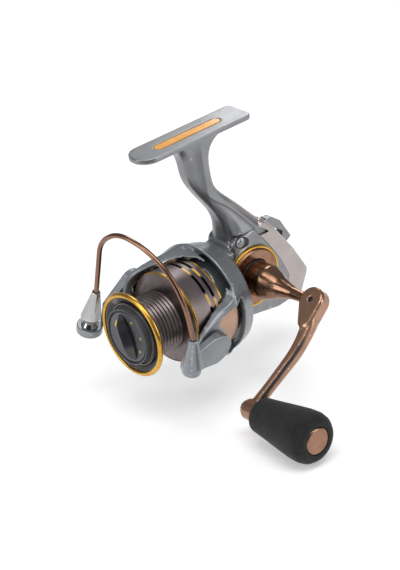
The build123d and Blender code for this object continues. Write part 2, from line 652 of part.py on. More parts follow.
def handle_rod():
    """The handle's rod through the drive gear, with its screw cap on the far side."""
    rod = wheel(FAR_BOSS_END - 1.4, COLLAR_START, CRANK_ROD_RADIUS)
    cap = turned_y([(FAR_BOSS_END - SIDE_GAP - 2.2, 0), (FAR_BOSS_END - SIDE_GAP - 2.2, 4.6),
                    (FAR_BOSS_END - SIDE_GAP - 1.4, 5.6), (FAR_BOSS_END - SIDE_GAP, 5.6),
                    (FAR_BOSS_END - SIDE_GAP, 3.2), (FAR_BEARING_Y, 3.2), (FAR_BEARING_Y, 0)])
    return rod, cap - rod


def handle_collar():
    """The cone between the side boss and the folding arm, with its groove and its fork."""
    body = turned_y([(COLLAR_START, 0), (COLLAR_START, COLLAR_BIG - 0.5), (COLLAR_START + 0.5, COLLAR_BIG),
                     (COLLAR_GROOVE, COLLAR_BIG), (COLLAR_GROOVE, COLLAR_BIG - 0.6),
                     (COLLAR_GROOVE + 0.8, COLLAR_BIG - 0.6), (COLLAR_GROOVE + 0.8, COLLAR_BIG + 0.2),
                     (COLLAR_GROOVE + 2.2, COLLAR_BIG), (COLLAR_GROOVE + 6, COLLAR_BIG - 1.5),
                     *COLLAR_BELL, (COLLAR_CONE_END, COLLAR_NECK), (COLLAR_CONE_END, 0)])
    tongue = wheel(COLLAR_CONE_END - 1, ARM_Y, COLLAR_NECK)
    tongue += Pos(0, ARM_Y, 0) * disc(-TONGUE_HALF, TONGUE_HALF, TONGUE_ROUND)
    tongue &= block(-TONGUE_HALF, TONGUE_HALF, 0, ARM_Y + TONGUE_ROUND, -TONGUE_ROUND, TONGUE_ROUND)
    rod_hole = wheel(COLLAR_START - 1, COLLAR_START + 8, CRANK_ROD_RADIUS + SEAT_GAP)
    pin_hole = Pos(0, ARM_Y, 0) * disc(-9, 9, FOLD_PIN_RADIUS + SEAT_GAP)
    return body + tongue - rod_hole - pin_hole


def handle_arm():
    """The arm with its big rounded head, the slot for the collar's tongue and the knob boss."""
    plane = Plane(origin=(-HEAD_HALF, 0, 0), x_dir=(0, 1, 0), z_dir=(1, 0, 0))
    head_round = Pos(ARM_Y, 0) * Circle(HEAD_RADIUS)
    low_round = Pos(ARM_Y + HEAD_LOW[0], HEAD_LOW[1]) * Circle(HEAD_LOW[2])
    head = extrude(plane * make_hull(head_round.edges() + low_round.edges()), amount=2 * HEAD_HALF)
    ends = head.faces().sort_by(Axis.X)
    head = fillet(ends[0].edges() + ends[-1].edges(), HEAD_SOFT)
    sections = []
    for share, beyond, deep, wide in ARM_SECTIONS:
        place = Pos(0, ARM_Y + beyond, -share * ARM_LENGTH)
        sections.append(place * RectangleRounded(deep, wide, min(deep, wide) * 0.4))
    blade = loft(sections)
    boss = Pos(0, 0, -ARM_LENGTH) * wheel(ARM_Y - BOSS_HALF, ARM_Y + BOSS_HALF, BOSS_RADIUS)
    arm = head + blade + boss
    reach = TONGUE_ROUND + SIDE_GAP
    slot = block(-TONGUE_HALF - SIDE_GAP, TONGUE_HALF + SIDE_GAP, ARM_Y - HEAD_RADIUS - 2, ARM_Y + reach,
                 -reach, HEAD_RADIUS + 1)
    pin_hole = Pos(0, ARM_Y, 0) * disc(-9, 9, FOLD_PIN_RADIUS + FIT_GAP)
    spindle_hole = Pos(0, 0, -ARM_LENGTH) * wheel(ARM_Y - 9, ARM_Y + 9, SPINDLE_RADIUS + SEAT_GAP)
    return arm - slot - pin_hole - spindle_hole


def crank():
    """Drive gear, rod, collar, folding arm, spindle and grip."""
    node("drive_gear", drive_gear(), CRANK_PLACE)
    rod, cap = handle_rod()
    node("handle_rod", rod, CRANK_PLACE)
    node("handle_screw_cap", cap, CRANK_PLACE)
    node("handle_collar", handle_collar(), CRANK_PLACE)
    node("handle_arm", handle_arm(), CRANK_PLACE)
    pin = Pos(0, ARM_Y, 0) * disc(-HEAD_HALF + SIDE_GAP, HEAD_HALF - SIDE_GAP, FOLD_PIN_RADIUS)
    pin -= Pos(0, ARM_Y, 0) * disc(HEAD_HALF - 0.9, HEAD_HALF, FOLD_PIN_RADIUS * 0.6)
    node("fold_pin", pin, CRANK_PLACE)
    knob_place = CRANK_PLACE * Pos(0, 0, -ARM_LENGTH)
    spindle_end = GRIP_END - 6.0
    spindle = wheel(ARM_Y - BOSS_HALF - 1.0, spindle_end, SPINDLE_RADIUS)
    spindle += wheel(ARM_Y - BOSS_HALF - 1.6, ARM_Y - BOSS_HALF, SPINDLE_RADIUS + 1.4)
    node("knob_spindle", spindle, knob_place)
    core = wheel(GRIP_START, GRIP_END - 3.4, GRIP_CORE_RADIUS, SPINDLE_RADIUS + FIT_GAP)
    core += wheel(spindle_end + SIDE_GAP, GRIP_END - 3.4, GRIP_CORE_RADIUS)
    node("grip_core", core, knob_place)
    bore = GRIP_CORE_RADIUS + SEAT_GAP
    grip = turned_y([(GRIP_START, bore), (GRIP_START, GRIP_SMALL - 1.6), (GRIP_START + 1.6, GRIP_SMALL),
                     (GRIP_START + 9, GRIP_SMALL + 1.0), (GRIP_START + 20, GRIP_BIG - 1.3),
                     (GRIP_END - 11, GRIP_BIG - 0.3), (GRIP_END - 6, GRIP_BIG), (GRIP_END - 3.2,
                                                                                 GRIP_BIG - 0.5),
                     (GRIP_END - 1.2, GRIP_BIG - 1.8), (GRIP_END - 0.2, GRIP_BIG - 3.6),
                     (GRIP_END - 0.4, GRIP_CAP_RADIUS + JOIN_GAP),
                     (GRIP_END - 3.4, GRIP_CAP_RADIUS + JOIN_GAP), (GRIP_END - 3.4, bore)])
    node("grip", grip, knob_place)
    cap = turned_y([(GRIP_END - 3.4, 0), (GRIP_END - 3.4, GRIP_CAP_RADIUS), (GRIP_END - 0.5, GRIP_CAP_RADIUS),
                    (GRIP_END, GRIP_CAP_RADIUS - 0.8), (GRIP_END + 0.3, 0)])
    node("grip_cap", cap, knob_place)


# --- oscillation --------------------------------------------------------------------------
def oscillation():
    """The gear that shifts the spool, its eccentric pin, the slider and the main shaft."""
    centre_distance = OSC_MODULE * (OSC_DRIVER_TEETH + OSC_GEAR_TEETH + 1.6) / 2 + TOOTH_TIP_GAP
    gear_x = -HANDLE_BACK - sqrt(centre_distance ** 2 - HYPOID_OFFSET ** 2)
    root = OSC_MODULE * (OSC_GEAR_TEETH / 2 - 1.1)
    tip = OSC_MODULE * (OSC_GEAR_TEETH / 2 + 0.8)
    plane = Plane(origin=(0, OSC_GEAR_Y, 0), x_dir=(1, 0, 0), z_dir=(0, 1, 0))
    gear = extrude(plane * toothed(OSC_GEAR_TEETH, root, tip), amount=OSC_GEAR_WIDTH)
    pin = Pos(-ECCENTRIC, 0, 0) * wheel(SLIDER_FACE + SIDE_GAP, OSC_GEAR_Y, ECCENTRIC_PIN)
    axle = wheel(OSC_GEAR_Y + OSC_GEAR_WIDTH, CAVITY_HALF, 2.6)
    node("oscillation_gear", gear + pin + axle, Pos(gear_x, 0, -AXIS_DROP))
    slider_x = gear_x - ECCENTRIC
    back = slider_x - SLIDER_HALF
    front = slider_x + SLIDER_HALF
    slot_reach = ECCENTRIC + ECCENTRIC_PIN + 0.2
    block_shape = block(back, front, SLIDER_BACK, SLIDER_FACE, -slot_reach - 0.8, slot_reach + 0.8)
    slot = block(slider_x - ECCENTRIC_PIN - 0.1, slider_x + ECCENTRIC_PIN + 0.1, SLIDER_FACE - 0.9,
                 SLIDER_FACE + 1,
                 -slot_reach, slot_reach)
    bore = disc(back - 1, front + 1, MAIN_RADIUS + SEAT_GAP)
    rail_bore = Pos(0, 0, -RAIL_DROP) * disc(back - 1, front + 1, RAIL_RADIUS + FIT_GAP)
    node("slider", block_shape - slot - bore - rail_bore, AXIS_PLACE)
    shaft = disc(MAIN_BACK, MAIN_FRONT - 2, MAIN_RADIUS)
    node("main_shaft", shaft, AXIS_PLACE)


# --- rotor --------------------------------------------------------------------------------
def rotor():
    """The rotor: hub, cup, barrel and the two arms that carry the bail."""
    barrel = turned_x([(ROTOR_BACK + 2.0, CUP_BORE), (ROTOR_BACK, CUP_BORE + 1.6),
                       (ROTOR_BACK, ROTOR_RIM_RADIUS - 1.0), (ROTOR_BACK + 1.0, ROTOR_RIM_RADIUS),
                       (ROTOR_BACK + 9, CROWN_RADIUS - 0.9), (CROWN_FRONT + 0.5, CROWN_RADIUS),
                       (PIVOT_X - PIVOT_BOSS - 0.5, BARREL_RADIUS),
                       (PIVOT_X + PIVOT_BOSS, BARREL_RADIUS), (PIVOT_X + PIVOT_BOSS, BARREL_BORE + 1.2),
                       (PIVOT_X - 4, BARREL_BORE), (ROTOR_BACK + 2.4, BARREL_BORE),
                       (ROTOR_BACK + 2.4, CUP_RADIUS), (HUB_FRONT, CUP_RADIUS), (HUB_FRONT,
                                                                                 PINION_SLEEVE + SEAT_GAP),
                       (HUB_BACK, PINION_SLEEVE + SEAT_GAP), (HUB_BACK, CUP_BORE)])
    reach = CROWN_RADIUS + 2
    front = PIVOT_X + PIVOT_BOSS + 1
    body = barrel
    for points, start in ((ARM_EDGE, reach), (FAR_EDGE, 0)):
        edge = [(CROWN_FRONT + x, z) for x, z in points]
        upper = make_face(
            Polyline(edge[-1], (front, edge[-1][1]), (front, reach), (CROWN_FRONT, reach),
                     edge[0]) + Spline(*edge))
        side = Plane(origin=(0, start, 0), x_dir=(1, 0, 0), z_dir=(0, -1, 0))
        cutter = extrude(side * upper, amount=reach)
        body = body - cutter - mirror(cutter, Plane.XY)
    flare = turned_x([(CROWN_FRONT - FLARE_DEPTH, 0), (CROWN_FRONT - FLARE_DEPTH, BARREL_BORE),
                      (CROWN_FRONT + 0.1, CROWN_RADIUS - CROWN_EDGE), (CROWN_FRONT + 0.1, 0)])
    flare -= block(-reach, reach, -reach, reach, -FLARE_SIDE, FLARE_SIDE)
    body -= flare & disc(ROTOR_BACK + 2.4, reach, reach, CUP_RADIUS + SIDE_GAP)
    window = side_plate(list(WINDOW_EDGE) + [(x, -z) for x, z in reversed(WINDOW_EDGE)], BARREL_BORE - 4,
                        reach, 0.9)
    body = body - window - mirror(window, Plane.XZ)
    screw_hole = Pos(PIVOT_X, 0, 0) * wheel(-reach, reach, PIVOT_SCREW_RADIUS + SEAT_GAP)
    head_end = BARREL_BORE + SCREW_SINK + SCREW_HEAD_HEIGHT
    head_seat = Pos(PIVOT_X, 0, 0) * wheel(-head_end, head_end, PIVOT_SCREW_HEAD + SEAT_GAP)
    return body - screw_hole - head_seat


def rotor_parts():
    """Everything that turns with the rotor."""
    node("rotor", rotor(), ROTOR_PLACE)
    pinion = disc(PINION_BACK, PINION_TOOTH_BACK, PINION_JOURNAL)
    plane = Plane(origin=(PINION_TOOTH_BACK, 0, 0), x_dir=(0, 1, 0), z_dir=(1, 0, 0))
    pinion += extrude(plane * toothed(PINION_TEETH, PINION_ROOT, PINION_TIP),
                      amount=PINION_TOOTH_FRONT - PINION_TOOTH_BACK)
    pinion += disc(PINION_TOOTH_FRONT, PINION_FRONT, PINION_SLEEVE)
    pinion -= disc(PINION_BACK - 1, PINION_FRONT + 1, MAIN_RADIUS + FIT_GAP)
    node("pinion", pinion, ROTOR_PLACE)
    node("clutch_inner_ring", disc(CLUTCH_BACK - 0.2, HUB_BACK, CLUTCH_INNER, PINION_SLEEVE + SEAT_GAP),
         ROTOR_PLACE)
    hexagon = RegularPolygon(NUT_RADIUS, 6) - Circle(PINION_SLEEVE + SEAT_GAP)
    nut_plane = Plane(origin=(HUB_FRONT, 0, 0), x_dir=(0, 1, 0), z_dir=(1, 0, 0))
    node("rotor_nut", extrude(nut_plane * hexagon, amount=2.4), ROTOR_PLACE)
    panels = []
    for turn in (0, 180):
        plate = disc(PANEL_BACK, PANEL_FRONT, BARREL_BORE - JOIN_GAP, BARREL_BORE - JOIN_GAP - PANEL_WALL)
        plate &= block(0, 2 * PANEL_FRONT, 0, BARREL_BORE, -PANEL_HALF, PANEL_HALF)
        panels.append(Rot(turn, 0, 0) * plate)
    node("arm_panels", panels, ROTOR_PLACE)
    weight = disc(ROTOR_BACK + 2.5, -1.0, BARREL_BORE - 0.1, CUP_RADIUS + 0.1)
    weight &= block(ROTOR_BACK, 0, -7.0, 7.0, -BARREL_BORE, -CUP_RADIUS + 4)
    node("balance_weight", weight, ROTOR_PLACE)


# --- bail ---------------------------------------------------------------------------------
def bail_point(side, up):
    """A point of the bail's plane in the rotor's frame."""
    first, second, third = BAIL_PLANE
    return (first + second * side + third * up, side, up)


def cone_between(start, end, radius_start, radius_end):
    """A cone between two points."""
    axis = Vector(*end) - Vector(*start)
    base = Plane(origin=start, z_dir=axis)
    return loft([base * Circle(radius_start), Plane(origin=end, z_dir=axis) * Circle(radius_end)])


def bail():
    """Bail wire, its near holder, the far lever and the line roller's pieces."""
    route = rounded_route([bail_point(side, up) for side, up in WIRE_POINTS])
    wire = sweep(Plane(origin=route @ 0, z_dir=route % 0) * Circle(WIRE_RADIUS), path=route)
    node("bail_wire", wire, ROTOR_PLACE)
    near_end = bail_point(*NEAR_TIP)
    far_end = bail_point(*FAR_TIP)
    holder = capsule((PIVOT_X, 0.4), (PIVOT_X + 14.6, -1.2), PIVOT_BOSS, 4.8, LEVER_INNER, LEVER_OUTER)
    cone_base = (near_end[0] - 0.7, near_end[1] + 0.8, 0.0)
    direction = (Vector(*near_end) - Vector(*cone_base)).normalized()
    foot_ring = Pos(cone_base[0], cone_base[1], -HOLDER_DROP) * Circle(HOLDER_FOOT)
    base_ring = Pos(*cone_base) * Circle(HOLDER_BASE)
    tip_ring = Plane(origin=near_end, z_dir=direction) * Circle(HOLDER_TIP)
    holder += loft([foot_ring, base_ring, tip_ring], ruled=True)
    socket = Plane(origin=near_end, z_dir=direction)
    holder -= extrude(socket * Circle(WIRE_RADIUS + SEAT_GAP), amount=1, both=True)
    shank_end = LEVER_OUTER - PIVOT_SKIN
    screw_hole = Pos(PIVOT_X, 0, 0) * wheel(BARREL_BORE, shank_end + SIDE_GAP, PIVOT_SCREW_RADIUS + FIT_GAP)
    node("near_bail_holder", holder - screw_hole, ROTOR_PLACE)
    head_start = BARREL_BORE + SCREW_SINK
    screw = wheel(head_start, shank_end, PIVOT_SCREW_RADIUS)
    screw += wheel(head_start, head_start + SCREW_HEAD_HEIGHT, PIVOT_SCREW_HEAD)
    screw = Pos(PIVOT_X, 0, 0) * (screw - wheel(head_start, head_start + 0.6, 1.3))
    node("bail_pivot_screws", [screw, mirror(screw, Plane.XZ)], ROTOR_PLACE)
    lug_top = -LUG_DROP + LUG_THICKNESS
    lever = capsule((PIVOT_X, -0.4), (ROLLER_X - 1.0, -LUG_DROP + LUG_THICKNESS / 2), 5.8, 2.8,
                    -LEVER_OUTER, -LEVER_INNER)
    lug_plane = Plane(origin=(ROLLER_X, ROLLER_SIDE, -LUG_DROP))
    lug = extrude(lug_plane * Circle(LUG_RADIUS), amount=LUG_THICKNESS)
    roller_room = extrude(Plane(origin=(ROLLER_X, ROLLER_SIDE, lug_top)) * Circle(LUG_RADIUS + 1),
                          amount=LUG_DROP)
    lever = lever - mirror(screw_hole, Plane.XZ) - roller_room + lug
    pin_hole = extrude(Plane(origin=(ROLLER_X, ROLLER_SIDE, -LUG_DROP - 1)) * Circle(1.5 + SEAT_GAP), amount=12)
    node("far_bail_lever", lever - pin_hole, ROTOR_PLACE)
    roller_low = lug_top + SIDE_GAP
    roller_top = roller_low + ROLLER_WIDTH
    middle = (roller_low + roller_top) / 2
    outline = Polyline((1.5 + FIT_GAP, roller_low), (ROLLER_RADIUS, roller_low), (ROLLER_RADIUS - 1.1, middle),
                       (ROLLER_RADIUS, roller_top), (1.5 + FIT_GAP, roller_top), close=True)
    roller = revolve(Plane.XZ * make_face(outline), Axis.Z, 360)
    node("line_roller", Pos(ROLLER_X, ROLLER_SIDE, 0) * roller, ROTOR_PLACE)
    cone_low = (ROLLER_X, ROLLER_SIDE, roller_top + SIDE_GAP)
    cone_start = (ROLLER_X, ROLLER_SIDE, cone_low[2] - 1.0)
    cone = cone_between(cone_start, far_end, 5.0, 1.9)
    cone -= extrude(Plane(origin=cone_low) * Circle(2 * LUG_RADIUS), amount=-2 * ROLLER_WIDTH)
    far_direction = (Vector(*far_end) - Vector(*cone_low)).normalized()
    cone -= extrude(Plane(origin=far_end, z_dir=far_direction) * Circle(WIRE_RADIUS + SEAT_GAP), amount=1,
                    both=True)
    pin_top = roller_top + SIDE_GAP + 4
    pin_plane = Plane(origin=(ROLLER_X, ROLLER_SIDE, -LUG_DROP + 0.6))
    cone -= extrude(Plane(origin=cone_low) * Circle(1.5 + SEAT_GAP), amount=4.2)
    node("roller_cone", cone, ROTOR_PLACE)
    node("roller_pin", extrude(pin_plane * Circle(1.5), amount=pin_top + LUG_DROP - 0.6), ROTOR_PLACE)


# --- spool and drag -----------------------------------------------------------------------
def spool_body():
    """Spool: ridged arbor, skirt with its slots, front face with pockets, drag well and hub."""
    ridge_start = SKIRT_FRONT + SPOOL_WALL
    ridge_end = LIP_FRONT - LIP_THICKNESS
    step = (ridge_end - ridge_start) / ARBOR_RIDGES
    arbor = []
    for ridge in range(ARBOR_RIDGES):
        start = ridge_start + ridge * step
        arbor += [(start, ARBOR_RADIUS - 0.35), (start + 0.5 * step, ARBOR_RADIUS)]
    outline = [(SKIRT_REAR + 0.9, SKIRT_RADIUS - SKIRT_WALL), (SKIRT_REAR + 0.9, SKIRT_RADIUS),
               (SKIRT_FRONT - 0.5, SKIRT_RADIUS), (SKIRT_FRONT, SKIRT_RADIUS - 0.5),
               (ridge_start, ARBOR_RADIUS + 1.2)] + arbor
    outline += [(ridge_end, ARBOR_RADIUS + 1.0), (LIP_FRONT - LIP_THICKNESS, LIP_RADIUS - LIP_WIDTH),
                (LIP_FRONT - 1.0, LIP_RADIUS - LIP_WIDTH), (LIP_FRONT - 2.6, KNOB_RADIUS + 1.0),
                (LIP_FRONT - 1.4, KNOB_RADIUS + 0.8), (LIP_FRONT - 1.4, KNOB_RADIUS + SIDE_GAP),
                (KNOB_BACK - SIDE_GAP, KNOB_RADIUS + SIDE_GAP), (KNOB_BACK - SIDE_GAP, WELL_RADIUS),
                (WELL_FLOOR, WELL_RADIUS), (WELL_FLOOR, MAIN_RADIUS + FIT_GAP),
                (SPOOL_HUB_BACK, MAIN_RADIUS + FIT_GAP), (SPOOL_HUB_BACK, SPOOL_HUB_RADIUS),
                (WELL_FLOOR - SPOOL_WALL, SPOOL_HUB_RADIUS), (WELL_FLOOR - SPOOL_WALL,
                                                              ARBOR_RADIUS - SPOOL_WALL),
                (SKIRT_FRONT, ARBOR_RADIUS - SPOOL_WALL), (SKIRT_FRONT, SKIRT_RADIUS - SKIRT_WALL)]
    body = turned_x(outline)
    cuts = []
    for row, place in enumerate(SLOT_ROWS):
        ring = disc(place - SLOT_WIDTH / 2, place + SLOT_WIDTH / 2, SKIRT_RADIUS + 1,
                    SKIRT_RADIUS - SKIRT_WALL - 1)
        wide = SKIRT_RADIUS * 1.3
        half = radians(SLOT_ANGLE / 2)
        wedge = Polyline((0, 0), (wide * cos(half), -wide * sin(half)),
                         (wide * cos(half), wide * sin(half)), close=True)
        plane = Plane(origin=(place - 2, 0, 0), x_dir=(0, 1, 0), z_dir=(1, 0, 0))
        slot = ring & extrude(plane * make_face(wedge), amount=4)
        cuts += around_x(slot, SLOT_COUNT, 8.0 * row)
    return body - cuts


def spool_parts():
    """The spool, its rings and the drag stack in its well."""
    node("spool", spool_body(), AXIS_PLACE)
    lip = turned_x([(LIP_FRONT - LIP_THICKNESS, LIP_RADIUS - LIP_WIDTH + JOIN_GAP / 2),
                    (LIP_FRONT - LIP_THICKNESS, LIP_RADIUS - 0.5), (LIP_FRONT - LIP_THICKNESS + 0.6,
                                                                    LIP_RADIUS),
                    (LIP_FRONT - 0.8, LIP_RADIUS), (LIP_FRONT, LIP_RADIUS - 0.9),
                    (LIP_FRONT, LIP_RADIUS - LIP_WIDTH + 0.5), (LIP_FRONT - 0.6,
                                                                LIP_RADIUS - LIP_WIDTH + JOIN_GAP / 2)])
    node("spool_lip", lip, AXIS_PLACE)
    rear_ring = disc(SKIRT_REAR, SKIRT_REAR + 0.9, SKIRT_RADIUS, SKIRT_RADIUS - SKIRT_WALL)
    node("skirt_rear_ring", rear_ring, AXIS_PLACE)
    felts = []
    metals = []
    place = WELL_FLOOR
    for layer in range(3):
        felts.append(disc(place, place + FELT_THICKNESS, WASHER_RADIUS, MAIN_RADIUS + 0.3))
        place += FELT_THICKNESS
        metals.append(disc(place, place + METAL_THICKNESS, WASHER_RADIUS, MAIN_RADIUS + FIT_GAP))
        place += METAL_THICKNESS
    node("drag_felt_washers", felts, AXIS_PLACE)
    node("drag_metal_washers", metals, AXIS_PLACE)
    node("drag_retaining_ring", disc(place + 0.1, place + 0.9, WELL_RADIUS, WELL_RADIUS - 1.4), AXIS_PLACE)


def drag_knob():
    """The front drag knob with its raised bar, its nut and its spring washer."""
    body = turned_x([(KNOB_BACK, 0), (KNOB_BACK, KNOB_RADIUS), (KNOB_FACE - 0.5, KNOB_RADIUS),
                     (KNOB_FACE, KNOB_RADIUS - 0.5), (KNOB_FACE, KNOB_RADIUS - 1.4), (KNOB_FACE - 0.7,
                                                                                      KNOB_RADIUS - 1.5),
                     (KNOB_FACE - 0.7, KNOB_RADIUS - 2.1), (KNOB_FACE, KNOB_RADIUS - 2.2), (KNOB_FACE + 0.4,
                                                                                            0)])
    body -= disc(KNOB_BACK, KNOB_FACE - 1.6, KNOB_RADIUS - 1.4, 6.0)
    low = Plane(origin=(KNOB_FACE - 0.4, 0, 0), x_dir=(0, 1, 0), z_dir=(1, 0, 0))
    high = Plane(origin=(KNOB_BAR_FRONT, 0, 0), x_dir=(0, 1, 0), z_dir=(1, 0, 0))
    bar = loft([low * Ellipse(3.6, KNOB_RADIUS - 2.6), high * Ellipse(1.9, KNOB_RADIUS - 4.6)])
    bore = disc(KNOB_BACK, MAIN_FRONT - 2 + SIDE_GAP, MAIN_RADIUS + FIT_GAP)
    nut_room = disc(KNOB_BACK, KNOB_BACK + 2.6, 3.9 + SEAT_GAP)
    node("drag_knob", body + bar - bore - nut_room, AXIS_PLACE * Rot(20, 0, 0))
    nut = disc(KNOB_BACK + 0.1, KNOB_BACK + 2.5, 3.9, MAIN_RADIUS + FIT_GAP)
    node("drag_knob_nut", nut, AXIS_PLACE)
    stack_end = WELL_FLOOR + 3 * (FELT_THICKNESS + METAL_THICKNESS)
    spring = turned_x([(stack_end + 0.3, 5.6), (stack_end + 0.3, 6.8), (KNOB_BACK - 0.2, 3.4),
                       (KNOB_BACK - 0.2, 2.4)])
    node("drag_spring", spring, AXIS_PLACE)


def main():
    """Build every node and write it to its own file."""
    fixed_frame()
    crank()
    oscillation()
    rotor_parts()
    bail()
    spool_parts()
    drag_knob()
    os.makedirs("parts", exist_ok=True)
    for name, shape in NODES.items():
        shape.label = name
        export_step(shape, os.path.join("parts", name + ".step"))


main()
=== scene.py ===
"""Looks of an open-face spinning reel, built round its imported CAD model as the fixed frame.

+X points to the spool and the rod tip, +Y to the handle, +Z to the rod. Sizes in the code are in
millimetres and become metres when a mesh is made.
"""

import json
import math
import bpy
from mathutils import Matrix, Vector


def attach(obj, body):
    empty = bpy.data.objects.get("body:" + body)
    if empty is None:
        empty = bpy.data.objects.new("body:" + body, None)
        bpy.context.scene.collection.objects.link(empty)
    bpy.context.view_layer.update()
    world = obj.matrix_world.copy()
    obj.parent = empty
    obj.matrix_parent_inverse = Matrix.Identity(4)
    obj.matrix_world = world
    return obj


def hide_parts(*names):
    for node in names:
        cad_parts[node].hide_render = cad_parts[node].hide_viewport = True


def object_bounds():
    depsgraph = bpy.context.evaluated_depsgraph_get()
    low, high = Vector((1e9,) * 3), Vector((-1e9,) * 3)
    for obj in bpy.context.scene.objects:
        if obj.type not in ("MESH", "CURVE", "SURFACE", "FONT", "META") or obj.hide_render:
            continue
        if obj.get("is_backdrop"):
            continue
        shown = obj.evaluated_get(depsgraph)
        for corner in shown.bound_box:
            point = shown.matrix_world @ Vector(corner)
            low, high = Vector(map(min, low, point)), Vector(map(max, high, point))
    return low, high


bl_info = {
    "name": "Spinning Reel Looks",
    "version": (1, 0, 0),
    "blender": (4, 5, 0),
    "location": "3D View > Sidebar > Reel",
    "description": "Dresses a jointed spinning reel with detailed pieces and procedural materials",
    "category": "Object",
}

import bpy
import bmesh
import numpy as np
from bpy.props import FloatProperty, FloatVectorProperty, IntProperty, PointerProperty
from mathutils import Matrix

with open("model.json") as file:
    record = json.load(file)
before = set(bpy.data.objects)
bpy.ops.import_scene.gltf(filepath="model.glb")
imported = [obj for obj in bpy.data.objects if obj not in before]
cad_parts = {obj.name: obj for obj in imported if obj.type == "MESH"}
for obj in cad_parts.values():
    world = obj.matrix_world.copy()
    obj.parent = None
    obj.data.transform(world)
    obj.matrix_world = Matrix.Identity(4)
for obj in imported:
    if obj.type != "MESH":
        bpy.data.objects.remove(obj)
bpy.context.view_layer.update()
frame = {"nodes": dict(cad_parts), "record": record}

MM = 0.001
AXIS_DROP = 83.2        # spool axis below the foot
CRANK_ANGLE = math.radians(-48.0)
HANDLE_X = -20.9
HANDLE_Z = -77.2
ARM_Y = 51.4
# drop from the crank's axis, place along it beyond the knob's boss, depth and width of the arm's blade
ARM_LINE = ((13.0, 4.4, 6.2, 7.0), (20.0, 5.1, 5.8, 6.2), (27.0, 4.7, 5.6, 5.8), (35.0, 3.2, 5.2, 5.4),
            (43.0, 1.6, 5.0, 5.2), (49.0, 0.3, 5.2, 5.2), (54.0, -0.2, 5.6, 5.6))
GROOVE_START, GROOVE_END = 16.0, 50.0
COVER_FACE = 9.5        # side cover's face that the screws sit in
SCREW_X, SCREW_Z = -16.4, -58.6
# (z, x) of the stem's side crease and front shoulder, where painted shade is drawn in front, and of its back
# edge
STEM_CREASE_SHADE = ((-26.0, -1.5), (-30.0, -3.2), (-34.4, -7.0), (-40.9, -14.6), (-48.4, -20.8), (-59.0, -28.8))
STEM_FRONT_SHADE = ((-3.0, -2.5), (-17.4, -3.0), (-30.5, -4.0), (-40.0, -7.6), (-49.4, -12.6), (-61.0, -15.2))
STEM_BACK = ((-28.0, -9.8), (-34.5, -14.2), (-41.0, -20.6), (-47.5, -26.6), (-54.0, -32.6), (-60.0, -38.0))

# --- spool and drag knob: (along the axis, radius) outlines --------------------------------
FRONT_RING = ((22.9, 21.5), (22.9, 22.03), (23.3, 22.06), (23.75, 21.75), (23.9, 21.5))
BAR_ROWS = (10.2, 13.6)
BARS = 8
BAR_HALF = 0.6
BAR_SHIFT = 8.0         # degrees from one row of bars to the next
BAR = {"radius": 22.0, "half": 6.6}
# dark sheets on the spool's face that paint the shade in its pockets
POCKETS = 5
POCKET_START = 20.0
POCKET = {"radius": 15.5, "start": 42.8, "end": 44.05, "half": 28.0, "thick": 0.09, "steps": 32, "slope": 1.75}
KNOB_OUTLINE = ((41.6, 12.4), (41.6, 14.2), (43.4, 14.2), (43.9, 13.5), (47.4, 13.5), (47.4, 12.9),
                (46.1, 12.7), (46.1, 12.1), (47.0, 12.0), (46.7, 10.6), (46.2, 8.0), (46.0, 0.0),
                (44.4, 0.0), (44.4, 12.4))
KNOB_ROUNDS = (0.2, 0.3, 0.3, 0.3, 0.3, 0.25, 0.2, 0.2, 0.3, 0.8, 1.5, 0.0, 0.0, 0.2)
# (along, radius) outline of a dark ring that paints the shade at the bottom of the knob's groove
KNOB_GROOVE_SHADE = ((46.06, 12.15), (46.16, 12.15), (46.16, 12.65), (46.06, 12.65))
KNOB_TURN = math.radians(20.0)
BAR_FOOT, BAR_BASE, BAR_CREST = 45.4, 46.2, 4.7
BAR_LENGTH, BAR_WIDTH = 11.4, 3.9
# radius, middle and half span of the marks on the knob's face
DIAL_MARKS = ((9.0, 150.0, 14.0), (8.8, 67.0, 4.0), (8.9, 12.0, 4.0), (9.1, -36.0, 4.0))
DIAL = {"start": 46.36, "end": 46.5, "thick": 0.42, "steps": 10}

# --- stage, in metres ----------------------------------------------------------------------
FLOOR_REACH = 30.0
FLAG_NEAR, FLAG_FAR, FLAG_HALF = 0.24, 0.9, 0.5
FLAG_LOW, FLAG_HIGH = 0.005, 0.12
FLAG_TO, FLAG_SIDE = (0.623, 0.782, 0.0), (-0.782, 0.623, 0.0)
SKY_STRENGTH = 0.32
LIGHT_AIM = (0.005, 0.02, -0.075)
# name, place, size, power
LIGHTS = (("softbox above", (0.15, 0.25, 0.75), (0.7, 0.5), 4.0),
          ("softbox left", (0.75, -0.15, 0.25), (0.35, 0.6), 2.2),
          ("softbox right", (-0.35, 0.75, 0.15), (0.3, 0.6), 1.8),
          ("rim strip", (-0.5, -0.45, 0.45), (0.2, 0.6), 1.6))
CAMERA_RIGHT = (-0.7453, 0.6594, -0.0983)
CAMERA_UP = (-0.3742, -0.2917, 0.8803)
CAMERA_BACK = (0.5518, 0.6929, 0.4642)
CAMERA_SPOT = (0.79709, 0.99810, 0.59300)
CAMERA_LENS = 199.6     # millimetres


# --- colours and nodes --------------------------------------------------------------------
def linear(code):
    """sRGB hex to linear RGBA: c / 12.92 below 0.04045, else ((c + 0.055) / 1.055) ^ 2.4."""
    parts = [int(code[i:i + 2], 16) / 255 for i in (1, 3, 5)]
    return tuple(c / 12.92 if c <= 0.04045 else ((c + 0.055) / 1.055) ** 2.4 for c in parts) + (1.0,)


def per_mm(size):
    """Texture scale that gives a feature this many millimetres across."""
    return 1 / (size * MM)


def wave_scale(period):
    """Wave texture scale that gives bands this many millimetres apart."""
    return 2 * math.pi / (20 * period * MM)


